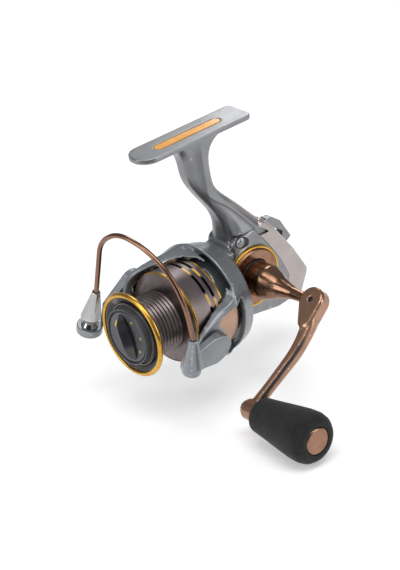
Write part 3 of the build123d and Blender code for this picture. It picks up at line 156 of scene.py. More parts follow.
def add_node(tree, kind, fields=None, **sockets):
    """Adds one node: fields are its properties, sockets its input values or (node, output) links."""
    node = tree.nodes.new("ShaderNode" + kind)
    for key, value in (fields or {}).items():
        setattr(node, key, value)
    for key, value in sockets.items():
        numbered = key[0] == "i" and key[1:].isdigit()
        socket = node.inputs[int(key[1:]) if numbered else key.replace("_", " ")]
        if isinstance(value, tuple) and isinstance(value[0], bpy.types.Node):
            tree.links.new(value[0].outputs[value[1]], socket)
        else:
            socket.default_value = value
    return node


def start_material(name):
    """An empty node material with its shader, output and object coordinates."""
    material = bpy.data.materials.new(name)
    material.use_nodes = True
    tree = material.node_tree
    tree.nodes.clear()
    shader = add_node(tree, "BsdfPrincipled")
    add_node(tree, "OutputMaterial", Surface=(shader, "BSDF"))
    place = add_node(tree, "TexCoord")
    return material, tree, shader, (place, "Object")


def set_shader(shader, **values):
    """Sets constants on the shader's own sockets."""
    for key, value in values.items():
        shader.inputs[key.replace("_", " ")].default_value = value


def tone(tree, place, size, low, high, detail=3.0, stretch=(1, 1, 1)):
    """Two colours or values mixed by a soft noise of the given size."""
    mapped = add_node(tree, "Mapping", Vector=place, Scale=stretch)
    noise = add_node(tree, "TexNoise", Vector=(mapped, "Vector"), Scale=per_mm(size), Detail=detail)
    ramp = add_node(tree, "ValToRGB", Fac=(noise, "Fac"))
    ramp.color_ramp.elements[0].position = 0.32
    ramp.color_ramp.elements[1].position = 0.68
    ramp.color_ramp.elements[0].color = low
    ramp.color_ramp.elements[1].color = high
    return (ramp, "Color")


def feed(tree, shader, name, pair):
    """Links a (node, output) pair to one of the shader's sockets."""
    tree.links.new(pair[0].outputs[pair[1]], shader.inputs[name])


def grey(value):
    """A grey colour of one value."""
    return (value, value, value, 1.0)


def bump(tree, height, depth, strength):
    """Bump whose full height is the given depth in millimetres."""
    return (add_node(tree, "Bump", Height=height, Distance=depth * MM, Strength=strength), "Normal")


def beside_line(tree, place, line, low, high):
    """0 to 1 as a point's x passes from low to high millimetres beyond a line given as (z, x) points."""
    zs, xs = [z for z, x in line], [x for z, x in line]
    spot = add_node(tree, "SeparateXYZ", Vector=place)
    share = add_node(tree, "MapRange", Value=(spot, "Z"), From_Min=min(zs) * MM, From_Max=max(zs) * MM)
    curve = add_node(tree, "FloatCurve", Value=(share, "Result"))
    points = curve.mapping.curves[0].points
    spread = max(xs) - min(xs)
    known = [((z - min(zs)) / (max(zs) - min(zs)), (x - min(xs)) / spread) for z, x in sorted(line)]
    points[0].location, points[1].location = known[0], known[-1]
    for where in known[1:-1]:
        points.new(*where)
    curve.mapping.update()
    wanted = add_node(tree, "MapRange", Value=(curve, "Value"), To_Min=min(xs) * MM, To_Max=max(xs) * MM)
    gap = add_node(tree, "Math", {"operation": "SUBTRACT"}, i0=(spot, "X"), i1=(wanted, "Result"))
    return add_node(tree, "MapRange", {"interpolation_type": "SMOOTHSTEP"}, Value=(gap, "Value"),
                    From_Min=low * MM, From_Max=high * MM), share


def painted_line_shade(tree, place, colour, line, fade, depth):
    """Painted shade: colour darkened just in front of a line, fading over some millimetres and at the line's
    ends.
    """
    before, share = beside_line(tree, place, line, -0.7, 0.1)
    after, share = beside_line(tree, place, line, 0.1, fade)
    shade_band = add_node(tree, "Math", {"operation": "SUBTRACT"}, i0=(before, "Result"), i1=(after, "Result"))
    ends = add_node(tree, "ValToRGB", Fac=(share, "Result"))
    stops = ends.color_ramp.elements
    stops[0].position, stops[1].position = 0.0, 0.12
    stops[0].color, stops[1].color = grey(0.0), grey(depth)
    stops.new(0.88).color = grey(depth)
    stops.new(1.0).color = grey(0.0)
    weight = add_node(tree, "Math", {"operation": "MULTIPLY"}, i0=(shade_band, "Value"), i1=(ends, "Color"))
    # mixes in the dark grey of the painted shade
    mixed = add_node(tree, "Mix", {"data_type": "RGBA"}, i0=(weight, "Value"), i6=colour, i7=linear("#29282A"))
    return (mixed, 2)


def stem_shade_and_strip(material):
    """Painted shade in front of the stem's front shoulder and of the fold down its side, and the warm grey
    strip on its back edge.
    """
    tree = material.node_tree
    shader = next(node for node in tree.nodes if node.type == "BSDF_PRINCIPLED")
    source = shader.inputs["Base Color"].links[0].from_socket
    place = (next(node for node in tree.nodes if node.type == "TEX_COORD"), "Object")
    colour = (source.node, list(source.node.outputs).index(source))
    # painted shade: broad in front of the front shoulder, narrow in front of the side crease; the last number
    # is how dark it gets
    for line, fade, depth in ((STEM_FRONT_SHADE, 9.0, 0.5), (STEM_CREASE_SHADE, 2.4, 0.62)):
        colour = painted_line_shade(tree, place, colour, line, fade, depth)
    strip, share = beside_line(tree, place, STEM_BACK, 3.6, 4.0)
    below = add_node(tree, "MapRange", Value=(share, "Result"), From_Min=0.62, From_Max=0.72,
                     To_Min=1.0, To_Max=0.0)
    behind = add_node(tree, "Math", {"operation": "SUBTRACT"}, i0=1.0, i1=(strip, "Result"))
    share = add_node(tree, "Math", {"operation": "MULTIPLY"}, i0=(behind, "Value"), i1=(below, "Result"))
    mixed = add_node(tree, "Mix", {"data_type": "RGBA"}, i0=(share, "Value"), i6=colour, i7=linear("#A99F9C"))
    feed(tree, shader, "Base Color", (mixed, 2))


def edge_light(tree, colour, worn, reach=0.06):
    """Colour that turns to a worn tone on sharp outer edges, from the mesh's pointiness."""
    shape = add_node(tree, "NewGeometry")
    ramp = add_node(tree, "ValToRGB", Fac=(shape, "Pointiness"))
    ramp.color_ramp.elements[0].position = 0.5 + reach * 0.4
    ramp.color_ramp.elements[1].position = 0.5 + reach
    mix = add_node(tree, "Mix", {"data_type": "RGBA"}, i0=(ramp, "Color"), i6=colour, i7=worn)
    return (mix, 2)


# --- materials ----------------------------------------------------------------------------
def die_cast_paint(name, low, high, worn, rough=0.34, metallic=0.72):
    """Metallic lacquer sprayed on die-cast aluminium: fine flake, slight orange peel, paler edges."""
    material, tree, shader, place = start_material(name)
    cloud = tone(tree, place, 9.0, linear(low), linear(high))
    flake = add_node(tree, "TexVoronoi", Vector=place, Scale=per_mm(0.28))
    flake_tone = add_node(tree, "MapRange", Value=(flake, "Color"), To_Min=0.88, To_Max=1.12)
    speckled = add_node(tree, "VectorMath", {"operation": "SCALE"}, i0=cloud, Scale=(flake_tone, "Result"))
    feed(tree, shader, "Base Color", edge_light(tree, (speckled, "Vector"), linear(worn)))
    peel = add_node(tree, "TexNoise", Vector=place, Scale=per_mm(1.6), Detail=2.0)
    normal = bump(tree, (peel, "Fac"), 0.012, 0.6)
    feed(tree, shader, "Normal", normal)
    gloss = tone(tree, place, 14.0, grey(rough - 0.05), grey(rough + 0.06))
    feed(tree, shader, "Roughness", gloss)
    set_shader(shader, Metallic=metallic, Coat_Weight=0.35, Coat_Roughness=0.12)
    return material


def turned_metal(name, low, high, rough, axis="X", period=0.45, depth=0.006, metallic=1.0):
    """Anodised or bare metal turned on a lathe: faint rings round the axis and a slow change of tone."""
    material, tree, shader, place = start_material(name)
    cloud = tone(tree, place, 7.0, linear(low), linear(high))
    feed(tree, shader, "Base Color", cloud)
    rings = add_node(tree, "TexWave", {"bands_direction": axis}, Vector=place, Scale=wave_scale(period),
                     Distortion=0.6, Detail=1.0)
    normal = bump(tree, (rings, "Fac"), depth, 0.5)
    feed(tree, shader, "Normal", normal)
    gloss = tone(tree, place, 5.0, grey(max(rough - 0.04, 0.02)), grey(rough + 0.05))
    feed(tree, shader, "Roughness", gloss)
    set_shader(shader, Metallic=metallic)
    return material


def plated(name, low, high, rough):
    """Polished plated brass or steel: mirror-like, with faint wiping marks in its gloss."""
    material, tree, shader, place = start_material(name)
    cloud = tone(tree, place, 12.0, linear(low), linear(high))
    feed(tree, shader, "Base Color", cloud)
    gloss = tone(tree, place, 3.0, grey(rough), grey(rough + 0.07), 4.0, (1, 1, 0.25))
    feed(tree, shader, "Roughness", gloss)
    ripple = add_node(tree, "TexNoise", Vector=place, Scale=per_mm(4.0), Detail=1.0)
    normal = bump(tree, (ripple, "Fac"), 0.01, 0.3)
    feed(tree, shader, "Normal", normal)
    set_shader(shader, Metallic=1.0)
    return material


def moulded_plastic(name, low, high, rough, grain=0.35, depth=0.012, coat=0.0):
    """Injection-moulded plastic: even colour, fine spark-eroded grain, soft sheen."""
    material, tree, shader, place = start_material(name)
    cloud = tone(tree, place, 6.0, linear(low), linear(high))
    feed(tree, shader, "Base Color", cloud)
    skin = add_node(tree, "TexNoise", Vector=place, Scale=per_mm(grain), Detail=3.0)
    normal = bump(tree, (skin, "Fac"), depth, 0.5)
    feed(tree, shader, "Normal", normal)
    gloss = tone(tree, place, 2.5, grey(rough - 0.03), grey(rough + 0.05))
    feed(tree, shader, "Roughness", gloss)
    set_shader(shader, IOR=1.5, Coat_Weight=coat, Coat_Roughness=0.08)
    return material


def eva_foam(name):
    """Closed-cell EVA foam, ground to shape: open cut cells, colour darker in their pits, matt."""
    material, tree, shader, place = start_material(name)
    cells = add_node(tree, "TexVoronoi", Vector=place, Scale=per_mm(0.75))
    small = add_node(tree, "TexVoronoi", Vector=place, Scale=per_mm(0.34))
    both = add_node(tree, "Math", {"operation": "MULTIPLY"}, i0=(cells, "Distance"), i1=(small, "Distance"))
    ramp = add_node(tree, "ValToRGB", Fac=(both, "Value"))
    ramp.color_ramp.elements[0].color = linear("#0B0B0C")
    ramp.color_ramp.elements[1].color = linear("#1B1B1D")
    ramp.color_ramp.elements[1].position = 0.45
    feed(tree, shader, "Base Color", (ramp, "Color"))
    normal = bump(tree, (both, "Value"), 0.16, 0.7)
    feed(tree, shader, "Normal", normal)
    gloss = tone(tree, place, 4.0, grey(0.78), grey(0.92))
    feed(tree, shader, "Roughness", gloss)
    set_shader(shader, IOR=1.45, Sheen_Weight=0.08, Sheen_Roughness=0.5)
    return material


def wool_felt(name):
    """Oiled wool felt: short matted fibres, quite matt."""
    material, tree, shader, place = start_material(name)
    fibre = add_node(tree, "TexNoise", Vector=place, Scale=per_mm(0.25), Detail=6.0, Distortion=2.0)
    ramp = add_node(tree, "ValToRGB", Fac=(fibre, "Fac"))
    ramp.color_ramp.elements[0].color = linear("#6E6456")
    ramp.color_ramp.elements[1].color = linear("#A79C88")
    feed(tree, shader, "Base Color", (ramp, "Color"))
    normal = bump(tree, (fibre, "Fac"), 0.1, 0.8)
    feed(tree, shader, "Normal", normal)
    set_shader(shader, Roughness=0.9, Sheen_Weight=0.3)
    return material


def make_materials():
    """Every finish of the reel by its plain name."""
    return {
        "body": die_cast_paint("gunmetal lacquer on die-cast aluminium", "#7C7D80", "#88898B", "#A8A8A9"),
        # body lacquer with painted shade down the stem
        "casting": die_cast_paint("gunmetal lacquer with painted shade on the stem",
                                  "#7C7D80", "#88898B", "#A8A8A9"),
        "guard": die_cast_paint("warm grey lacquer on the rear guard",
                                "#A79D9B", "#B3A9A6", "#C9C1BF", 0.3, 0.6),
        "rotor": die_cast_paint("blue-grey lacquer on the rotor", "#7E8286", "#8B8F93", "#AEB1B4", 0.34, 0.62),
        "taupe": turned_metal("taupe anodised turned aluminium", "#6E6363", "#7D7272", 0.38),
        "gold": turned_metal("gold anodised turned aluminium", "#C0913A", "#D8AA50", 0.27, "X", 0.6, 0.003),
        "gold_fill": moulded_plastic("gold enamel fill", "#D8A43C", "#E6B650", 0.32),
        "bronze": die_cast_paint("bronze lacquer on machined aluminium",
                                 "#98735C", "#AA836B", "#C3A28E", 0.27, 0.8),
        "bronze_turned": turned_metal("bronze anodised turned aluminium",
                                      "#84624D", "#987562", 0.2, "Y", 0.5, 0.004),
        "wire": plated("bronze-plated steel wire", "#7E5E4C", "#8E6C58", 0.2),
        "chrome": plated("chrome plate on brass", "#A3A3A4", "#B5B4B3", 0.07),
        "steel": turned_metal("ground stainless steel", "#A3A4A6", "#B9BABB", 0.28, "X", 0.35, 0.005),
        "zinc": turned_metal("machined zinc alloy", "#8E9092", "#A0A2A3", 0.42, "Y", 0.5, 0.01),
        "brass": turned_metal("machined brass", "#B8924A", "#CBA55C", 0.3, "X", 0.4, 0.006),
        "foam": eva_foam("ground EVA foam"),
        "amber": moulded_plastic("glossy amber acrylic inlay", "#E89A1E", "#F2AB36", 0.22, 1.5, 0.004, 0.6),
        "knob": moulded_plastic("satin dark grey ABS", "#48494C", "#525356", 0.36),
        "knob_bar": moulded_plastic("near-black gloss ABS", "#1C1C1F", "#26262A", 0.22, 0.5, 0.006, 0.4),
        # also the dark pieces that stand for painted shade in grooves, pockets and round the cover screws
        "resin": moulded_plastic("black glass-filled nylon", "#1F1F21", "#29292B", 0.45),
        "felt": wool_felt("oiled wool felt"),
    }


MATERIALS = {}
SLOT_FINISH = {"body_paint": "body", "guard_paint": "guard", "rotor_paint": "rotor", "spool_taupe": "taupe",
               "gold": "gold", "bronze": "bronze", "wire_bronze": "wire", "chrome": "chrome", "steel": "steel",
               "zinc": "zinc", "brass": "brass", "grip_foam": "foam", "amber": "amber", "knob_dark": "knob",
               "resin": "resin", "felt": "felt"}


# --- mesh helpers -------------------------------------------------------------------------
def finish_piece(piece, material, body, replaces=()):
    """Gives a finished mesh its material, its body and the nodes that it stands for."""
    piece.data.materials.clear()
    piece.data.materials.append(MATERIALS[material])
    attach(piece, body)
    if replaces:
        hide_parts(*replaces)
    return piece


def mesh_piece(name, points, faces, angle=35.0):
    """A mesh object from points in millimetres, shaded smooth up to an angle."""
    mesh = bpy.data.meshes.new(name)
    mesh.from_pydata(np.asarray(points, float) * MM, [], faces)
    mesh.validate()
    mesh.polygons.foreach_set("use_smooth", np.ones(len(mesh.polygons), bool))
    mesh.set_sharp_from_angle(angle=math.radians(angle))
    piece = bpy.data.objects.new(name, mesh)
    bpy.context.scene.collection.objects.link(piece)
    return piece


def grid_faces(rows, columns, wrap_rows, wrap_columns):
    """Quads between neighbouring rows and columns of a grid, closed round where asked."""
    row = np.arange(rows if wrap_rows else rows - 1)
    column = np.arange(columns if wrap_columns else columns - 1)
    r, c = np.meshgrid(row, column, indexing="ij")
    r2, c2 = (r + 1) % rows, (c + 1) % columns
    quads = np.stack([r * columns + c, r * columns + c2, r2 * columns + c2, r2 * columns + c], -1)
    return quads.reshape(-1, 4)


def rounded(outline, rounds, steps=4):
    """A closed outline with its corners turned to quadratic curves, each begun at its round's distance."""
    points = np.asarray(outline, float)
    before, after = np.roll(points, 1, 0), np.roll(points, -1, 0)
    t = np.linspace(0, 1, steps + 1)[:, None]
    out = []
    for corner, one, two, reach in zip(points, before - points, after - points, rounds):
        a = corner + one * min(reach / np.linalg.norm(one), 0.48)
        b = corner + two * min(reach / np.linalg.norm(two), 0.48)
        out.append(a * (1 - t) ** 2 + 2 * corner * t * (1 - t) + b * t ** 2)
    return np.concatenate(out)


def turned(name, outline, turns):
    """Outline (along, radius) carried round the spool's axis: (a, r cos v, r sin v)."""
    p = np.asarray(outline, float)
    v = np.linspace(0, 2 * np.pi, turns, endpoint=False)
    a = np.repeat(p[:, :1], turns, 1)
    points = np.stack([a, p[:, 1:] * np.cos(v), p[:, 1:] * np.sin(v)], -1).reshape(-1, 3)
    piece = mesh_piece(name, axis_place(points), grid_faces(len(p), turns, True, True).tolist())
    tidy(piece.data)
    return piece


def tidy(mesh):
    """Merges doubled points and turns every face outwards."""
    work = bmesh.new()
    work.from_mesh(mesh)
    bmesh.ops.remove_doubles(work, verts=work.verts, dist=1e-6)
    bmesh.ops.recalc_face_normals(work, faces=work.faces)
    work.to_mesh(mesh)
    work.free()


def cad_copy(node, name, angle=32.0):
    """A copy of a CAD node with its doubled points merged, so that it can be shaded smooth."""
    source = frame["nodes"][node].data
    co = np.zeros(len(source.vertices) * 3)
    source.vertices.foreach_get("co", co)
    corners = np.zeros(len(source.loops), np.int64)
    source.loops.foreach_get("vertex_index", corners)
    microns = np.round(co.reshape(-1, 3) * 1e6)
    first, inverse = np.unique(microns, axis=0, return_index=True, return_inverse=True)[1:]
    points = co.reshape(-1, 3)[first] / MM
    tri = inverse.reshape(-1)[corners.reshape(-1, 3)]
    good = (tri[:, 0] != tri[:, 1]) & (tri[:, 1] != tri[:, 2]) & (tri[:, 0] != tri[:, 2])
    return mesh_piece(name, points, tri[good].tolist(), angle)


def soften(piece, width, segments=2, angle=30.0):
    """Joins flat triangles, then bevels the sharp edges and evens the shading."""
    work = bmesh.new()
    work.from_mesh(piece.data)
    bmesh.ops.dissolve_limit(work, angle_limit=math.radians(0.6), verts=work.verts, edges=work.edges)
    work.to_mesh(piece.data)
    work.free()
    bevel = piece.modifiers.new("soft edges", "BEVEL")
    bevel.width = width * MM
    bevel.segments = segments
    bevel.limit_method = "ANGLE"
    bevel.angle_limit = math.radians(angle)
    bevel.harden_normals = False
    even = piece.modifiers.new("even shading", "WEIGHTED_NORMAL")
    even.keep_sharp = True
    return piece


def cast(piece, voxel, rounds):
    """Evens a die-cast skin: one closed mesh of even cells, its corners rounded by averaging."""
    even = piece.modifiers.new("even cells", "REMESH")
    even.mode = "VOXEL"
    even.voxel_size = voxel * MM
    even.use_smooth_shade = True
    smooth = piece.modifiers.new("rounded corners", "SMOOTH")
    smooth.factor = 0.5
    smooth.iterations = rounds
    return piece


def patch(name, radius, start, end, middle, half, thick=0.06, steps=24, slope=0.0):
    """A thin plate on a cone round the spool's axis: radius + slope (x - start), at angles middle +- half."""
    x = np.array([start, end, end, start])
    r = radius + slope * (x - start) + np.array([thick, thick, -thick, -thick])
    v = np.radians(np.linspace(middle - half, middle + half, steps))
    points = np.stack([np.repeat(x[None], steps, 0), r * np.cos(v)[:, None], r * np.sin(v)[:, None]], -1)
    faces = grid_faces(steps, 4, False, True).tolist() + [[3, 2, 1, 0], [4 * steps - 4 + k for k in range(4)]]
    piece = mesh_piece(name, axis_place(points.reshape(-1, 3)), faces)
    tidy(piece.data)
    return piece


def tube(name, path, radius, place, sides=10):
    """A tube along a path: ring k at path[k] with radius[k]; closed ends."""
    path, radius = np.asarray(path, float), np.asarray(radius, float)
    along = np.gradient(path, axis=0)
    along /= np.linalg.norm(along, axis=1)[:, None]
    side = np.cross(along, (0.0, 0.31, 0.95))
    side /= np.linalg.norm(side, axis=1)[:, None]
    up = np.cross(side, along)
    v = np.linspace(0, 2 * np.pi, sides, endpoint=False)
    ring = np.cos(v)[None, :, None] * side[:, None] + np.sin(v)[None, :, None] * up[:, None]
    points = (path[:, None] + ring * radius[:, None, None]).reshape(-1, 3)
    last = (len(path) - 1) * sides
    faces = grid_faces(len(path), sides, False, True).tolist()
    faces += [list(range(sides))[::-1], [last + k for k in range(sides)]]
    piece = mesh_piece(name, place(points), faces)
    tidy(piece.data)
    return piece


def axis_place(points):
    """From the spool axis's own frame to the part's frame."""
    return points - np.array([0.0, 0.0, AXIS_DROP])


def crank_place(points):
    """From the crank's own frame (Y along its axis, arm towards -Z) to the part's frame."""
    c, s = math.cos(CRANK_ANGLE), math.sin(CRANK_ANGLE)
    x, y, z = points.T
    return np.stack([x * c + z * s + HANDLE_X, y, -x * s + z * c + HANDLE_Z], -1)


# --- settings -----------------------------------------------------------------------------
class ReelSizes(bpy.types.PropertyGroup):
    """Sizes that shape the dressed pieces."""
    edge: FloatProperty(name="Edge Softness", description="Width of the softened edges", default=0.25 * MM,
                        min=0.0, max=1.0 * MM, unit="LENGTH", precision=5)
    floor_gap: FloatProperty(name="Floor Gap", description="Gap from the reel's lowest point to the floor",
                             default=1.0 * MM, min=0.0, unit="LENGTH")
    turns: IntProperty(name="Turned Steps", description="Steps round each turned piece", default=112,
                       min=24, max=256)


class ReelColours(bpy.types.PropertyGroup):
    """Colours of the stage."""
    floor: FloatVectorProperty(name="Floor", description="Colour of the floor", subtype="COLOR", size=4,
                               default=linear("#F4F4F4"), min=0.0, max=1.0)
    sky: FloatVectorProperty(name="Surround", description="Colour of the light from all round",
                             subtype="COLOR", size=4, default=linear("#E9ECEF"), min=0.0, max=1.0)


def dress_cast(node, body, material, voxel=0.42, rounds=5):
    """One CAD node as a die-cast skin."""
    return finish_piece(cast(cad_copy(node, node + "_skin"), voxel, rounds), material, body, (node,))


def dress(context, node, body, material, width=None, angle=32.0):
    """One CAD node as a smooth copy with softened edges."""
    piece = cad_copy(node, node + "_skin", angle)
    if width is None:
        width = context.scene.reel_sizes.edge / MM
    if width:
        soften(piece, width)
    return finish_piece(piece, material, body, (node,))


# --- operators ----------------------------------------------------------------------------
class REEL_OT_stage(bpy.types.Operator):
    """Pale floor, soft studio lights and the camera"""
    bl_idname = "reel.stage"
    bl_label = "Stage"

    def board(self, context, name, corners, material):
        """One flat board of the stage, from its corners in metres."""
        mesh = bpy.data.meshes.new(name)
        mesh.from_pydata([tuple(p) for p in corners], [], [(0, 1, 2, 3)])
        mesh.materials.append(material)
        piece = bpy.data.objects.new(name, mesh)
        context.scene.collection.objects.link(piece)
        return piece

    def matrix(self, right, up, back, spot):
        """Placing matrix from three axes and a place."""
        rows = np.stack([right, up, back], 1)
        return Matrix([[*row, p] for row, p in zip(rows, spot)] + [[0, 0, 0, 1]])

    def boards(self, context):
        """White floor, and a black card in front that darkens what the metals mirror."""
        sizes, colours = context.scene.reel_sizes, context.scene.reel_colours
        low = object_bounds()[0][2] - sizes.floor_gap
        material, tree, shader, place = start_material("matt white board")
        feed(tree, shader, "Base Color", tone(tree, place, 180.0, tuple(colours.floor), linear("#F8F8F8")))
        set_shader(shader, Roughness=0.9, Emission_Color=linear("#FFFFFF"), Emission_Strength=0.3)
        square = [(a * FLOOR_REACH, b * FLOOR_REACH, low) for a, b in ((-1, -1), (1, -1), (1, 1), (-1, 1))]
        floor = self.board(context, "floor", square, material)
        floor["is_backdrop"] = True
        material, tree, shader, place = start_material("black felt flag")
        feed(tree, shader, "Base Color", tone(tree, place, 3.0, linear("#0E0E0F"), linear("#19191A")))
        set_shader(shader, Roughness=0.95)
        near, side = np.array(FLAG_TO), np.array(FLAG_SIDE)
        corners = [near * a + side * b + np.array([0, 0, low + h]) for a, b, h in
                   ((FLAG_NEAR, -FLAG_HALF, FLAG_LOW), (FLAG_NEAR, FLAG_HALF, FLAG_LOW),
                    (FLAG_FAR, FLAG_HALF, FLAG_HIGH), (FLAG_FAR, -FLAG_HALF, FLAG_HIGH))]
        flag = self.board(context, "flag", corners, material)
        flag.visible_camera = False
        flag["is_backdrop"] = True

    def lights(self, context):
        """Dim light from all round and four soft lamps turned to the reel."""
        world = bpy.data.worlds.new("studio")
        context.scene.world = world
        world.use_nodes = True
        world.node_tree.nodes["Background"].inputs[0].default_value = tuple(context.scene.reel_colours.sky)
        world.node_tree.nodes["Background"].inputs[1].default_value = SKY_STRENGTH
        for name, spot, size, power in LIGHTS:
            light = bpy.data.lights.new(name, "AREA")
            light.shape = "RECTANGLE"
            light.size, light.size_y = size
            light.energy = power
            lamp = bpy.data.objects.new(name, light)
            context.scene.collection.objects.link(lamp)
            back = np.array(spot) - np.array(LIGHT_AIM)
            back /= np.linalg.norm(back)
            side = np.cross((0, 0, 1), back)
            side /= np.linalg.norm(side)
            lamp.matrix_world = self.matrix(side, np.cross(back, side), back, spot)

    def execute(self, context):
        self.boards(context)
        self.lights(context)
        camera_data = bpy.data.cameras.new("camera")
        camera = bpy.data.objects.new("camera", camera_data)
        context.scene.collection.objects.link(camera)
        camera.matrix_world = self.matrix(CAMERA_RIGHT, CAMERA_UP, CAMERA_BACK, CAMERA_SPOT)
        camera_data.lens = CAMERA_LENS
        camera_data.sensor_width = 36.0
        camera_data.clip_start, camera_data.clip_end = 0.05, 50.0
        context.scene.camera = camera
        context.scene.view_settings.view_transform = "Standard"
        return {"FINISHED"}


class REEL_OT_body(bpy.types.Operator):
    """Foot, stem, gear case, side cover, guard and what is screwed to them"""
    bl_idname = "reel.body"
    bl_label = "Body"

    def screw_recess_shade(self):
        """Dark plate round a cover screw: painted shade in its recess, with a painted shadow drawn out on one
        side: r(v) = 2.9 + 2.2 max(0, cos(v - v0))^3.
        """
        v = np.linspace(0, 2 * np.pi, 48, endpoint=False)
        # the painted shadow is drawn out towards 200 degrees round the screw
        outer = 2.9 + 2.2 * np.maximum(0, np.cos(v - math.radians(200.0))) ** 3
        r = np.stack([0 * v + 2.35, outer, outer, 0 * v + 2.35])
        y = np.repeat(COVER_FACE + np.array([0.16, 0.14, 0.0, 0.0])[:, None], 48, 1)
        points = np.stack([SCREW_X + r * np.cos(v), y, SCREW_Z + r * np.sin(v)], -1).reshape(-1, 3)
        piece = mesh_piece("screw_recess_shade", points, grid_faces(4, 48, True, True).tolist())
        tidy(piece.data)
        finish_piece(piece, "resin", "frame")

    def execute(self, context):
        dress_cast("body_frame", "frame", "casting", 0.46, 3)
        dress_cast("side_cover", "frame", "body", 0.38, 3)
        dress_cast("rear_guard", "frame", "guard", 0.34, 2)
        dress(context, "foot_inlay", "frame", "amber")
        dress(context, "side_cover_screws", "frame", "chrome", 0.12)
        self.screw_recess_shade()
        dress(context, "side_trim_ring", "frame", "bronze_turned")
        dress(context, "side_trim_rim", "frame", "gold", 0.15)
        dress(context, "shaft_seal_ring", "frame", "resin")
        dress_cast("anti_reverse_lever", "lever", "body", 0.25, 4)
        return {"FINISHED"}


class REEL_OT_crank(bpy.types.Operator):
    """Collar, folding arm, knob spindle and grip"""
    bl_idname = "reel.crank"
    bl_label = "Crank And Grip"

    def groove(self):
        """Dark tube as painted shade in the groove down the arm's outer corner, from ARM_LINE: drop, beyond
        the boss, depth, width.
        """
        line = np.array(ARM_LINE)
        drop = np.linspace(GROOVE_START, GROOVE_END, 40)
        beyond, deep, wide = (np.interp(drop, line[:, 0], line[:, k]) for k in (1, 2, 3))
        path = np.stack([deep * 0.36, ARM_Y + beyond + wide * 0.36, -drop], -1)
        share = (drop - GROOVE_START + 0.5) / (GROOVE_END - GROOVE_START + 1.0)
        radius = 0.75 * np.sin(np.clip(share, 0.02, 0.98) * np.pi) ** 0.35
        # black nylon stands for the shade in the groove
        finish_piece(tube("arm_groove_shade", path, radius, crank_place), "resin", "arm")

    def execute(self, context):
        dress(context, "handle_collar", "crank", "bronze_turned")
        dress(context, "handle_screw_cap", "crank", "bronze_turned")
        dress(context, "fold_pin", "crank", "resin", 0.1)
        dress_cast("handle_arm", "arm", "bronze", 0.3, 14)
        self.groove()
        dress(context, "knob_spindle", "arm", "chrome", 0.15)
        dress(context, "grip", "knob", "foam", 0.5)
        dress(context, "grip_cap", "knob", "bronze_turned")
        return {"FINISHED"}


class REEL_OT_rotor(bpy.types.Operator):
    """Rotor with its panels and pivot screws"""
    bl_idname = "reel.rotor"
    bl_label = "Rotor"

    def execute(self, context):
        dress_cast("rotor", "rotor", "rotor", 0.42, 6)
        dress(context, "arm_panels", "rotor", "bronze")
        dress(context, "bail_pivot_screws", "rotor", "chrome", 0.12)
        return {"FINISHED"}


class REEL_OT_bail(bpy.types.Operator):
    """Bail wire, its holders and the line roller"""
    bl_idname = "reel.bail"
    bl_label = "Bail"

    def execute(self, context):
        dress(context, "bail_wire", "bail", "wire", 0.0, 60.0)
        dress_cast("near_bail_holder", "bail", "rotor", 0.28, 14)
        dress_cast("far_bail_lever", "bail", "rotor", 0.28, 5)
        dress(context, "roller_cone", "bail", "chrome", 0.2)
        dress(context, "line_roller", "roller", "chrome", 0.15)
        return {"FINISHED"}


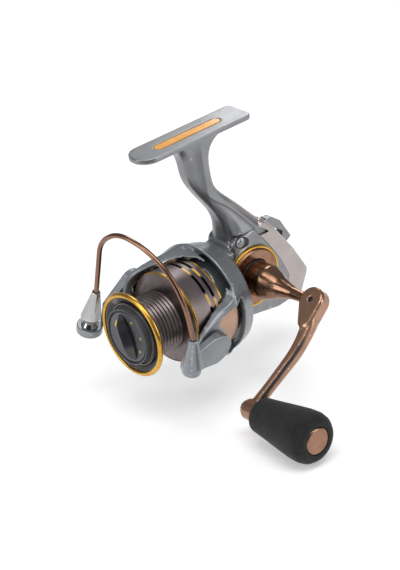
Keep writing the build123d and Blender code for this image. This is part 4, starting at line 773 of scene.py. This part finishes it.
class REEL_OT_spool(bpy.types.Operator):
    """Spool, its lip and the drag knob"""
    bl_idname = "reel.spool"
    bl_label = "Spool"

    def execute(self, context):
        dress(context, "spool", "spool", "taupe", 0.15)
        dress(context, "spool_lip", "spool", "gold", 0.3)
        dress(context, "skirt_rear_ring", "spool", "gold", 0.1)
        finish_piece(turned("skirt_front_ring", FRONT_RING, context.scene.reel_sizes.turns),
                     "gold", "spool")
        for row, x in enumerate(BAR_ROWS):
            for k in range(BARS):
                middle = BAR_SHIFT * row + 360.0 / BARS * (k + 0.5)
                bar = patch(f"skirt_bar_{row}_{k}", start=x - BAR_HALF, end=x + BAR_HALF, middle=middle, **BAR)
                finish_piece(bar, "gold_fill", "spool")
        for k in range(POCKETS):
            # painted shade in one pocket of the spool's face
            pocket_shade = patch(f"face_pocket_{k}", middle=360.0 / POCKETS * k + POCKET_START, **POCKET)
            finish_piece(pocket_shade, "resin", "spool")
        self.knob(context)
        return {"FINISHED"}

    def knob(self, context):
        """Drag knob: rim, a dark ring as painted shade in its groove, dished face, lens-shaped bar with a
        crest, and its marks.
        """
        turns = context.scene.reel_sizes.turns
        rim = rounded(KNOB_OUTLINE, KNOB_ROUNDS)
        rim[:, 1] = np.maximum(rim[:, 1], 0.0)
        finish_piece(turned("drag_knob_body", rim, turns), "knob", "drag_knob", ("drag_knob",))
        finish_piece(turned("drag_knob_groove_shade", KNOB_GROOVE_SHADE, turns), "resin", "drag_knob")
        u = np.linspace(-1, 1, 49)
        half = BAR_WIDTH * (1 - u ** 2) ** 0.6
        crest = BAR_BASE + BAR_CREST * (1 - u ** 4) ** 0.8
        shoulder = BAR_BASE + 0.35 * (crest - BAR_BASE)
        foot = 0 * u + BAR_FOOT
        across = np.stack([-half, -half * 0.92, 0 * half + 0.15, half * 0.92, half], -1)
        height = np.stack([foot, shoulder, crest, shoulder, foot], -1)
        along = np.repeat((u * BAR_LENGTH)[:, None], 5, 1)
        c, s = math.cos(KNOB_TURN), math.sin(KNOB_TURN)
        points = np.stack([height, across * c - along * s, across * s + along * c], -1).reshape(-1, 3)
        bar = mesh_piece("drag_knob_bar", axis_place(points), grid_faces(49, 5, False, True).tolist(), 25.0)
        tidy(bar.data)
        soften(bar, 0.25, 2, 25.0)
        finish_piece(bar, "knob_bar", "drag_knob")
        for k, (radius, middle, half) in enumerate(DIAL_MARKS):
            mark = patch(f"dial_mark_{k}", radius=radius, middle=middle, half=half, **DIAL)
            finish_piece(mark, "gold_fill", "drag_knob")


class REEL_OT_works(bpy.types.Operator):
    """Finishes of the inner pieces, which keep their CAD shape"""
    bl_idname = "reel.works"
    bl_label = "Inner Works"

    def execute(self, context):
        for part in frame["record"]["subparts"]:
            mesh = frame["nodes"][part["node"]].data
            mesh.materials.clear()
            mesh.materials.append(MATERIALS[SLOT_FINISH[part["material_slot"]]])
        return {"FINISHED"}


class REEL_PT_panel(bpy.types.Panel):
    """Sidebar panel that lists the pieces"""
    bl_idname = "REEL_PT_panel"
    bl_label = "Spinning Reel"
    bl_space_type = "VIEW_3D"
    bl_region_type = "UI"
    bl_category = "Reel"

    def draw(self, context):
        layout = self.layout
        for key in ("edge", "floor_gap", "turns"):
            layout.prop(context.scene.reel_sizes, key)
        for key in ("floor", "sky"):
            layout.prop(context.scene.reel_colours, key)
        for operator in OPERATORS:
            layout.operator(operator.bl_idname)


OPERATORS = (REEL_OT_works, REEL_OT_body, REEL_OT_crank, REEL_OT_rotor, REEL_OT_bail, REEL_OT_spool,
             REEL_OT_stage)
CLASSES = (ReelSizes, ReelColours) + OPERATORS + (REEL_PT_panel,)


def register():
    for cls in CLASSES:
        bpy.utils.register_class(cls)
    bpy.types.Scene.reel_sizes = PointerProperty(type=ReelSizes)
    bpy.types.Scene.reel_colours = PointerProperty(type=ReelColours)


def unregister():
    del bpy.types.Scene.reel_colours
    del bpy.types.Scene.reel_sizes
    for cls in reversed(CLASSES):
        bpy.utils.unregister_class(cls)


def main():
    """Registers the add-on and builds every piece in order."""
    register()
    MATERIALS.update(make_materials())
    stem_shade_and_strip(MATERIALS["casting"])
    for operator in OPERATORS:
        group, name = operator.bl_idname.split(".")
        getattr(getattr(bpy.ops, group), name)()


if __name__ == "__main__":
    main()
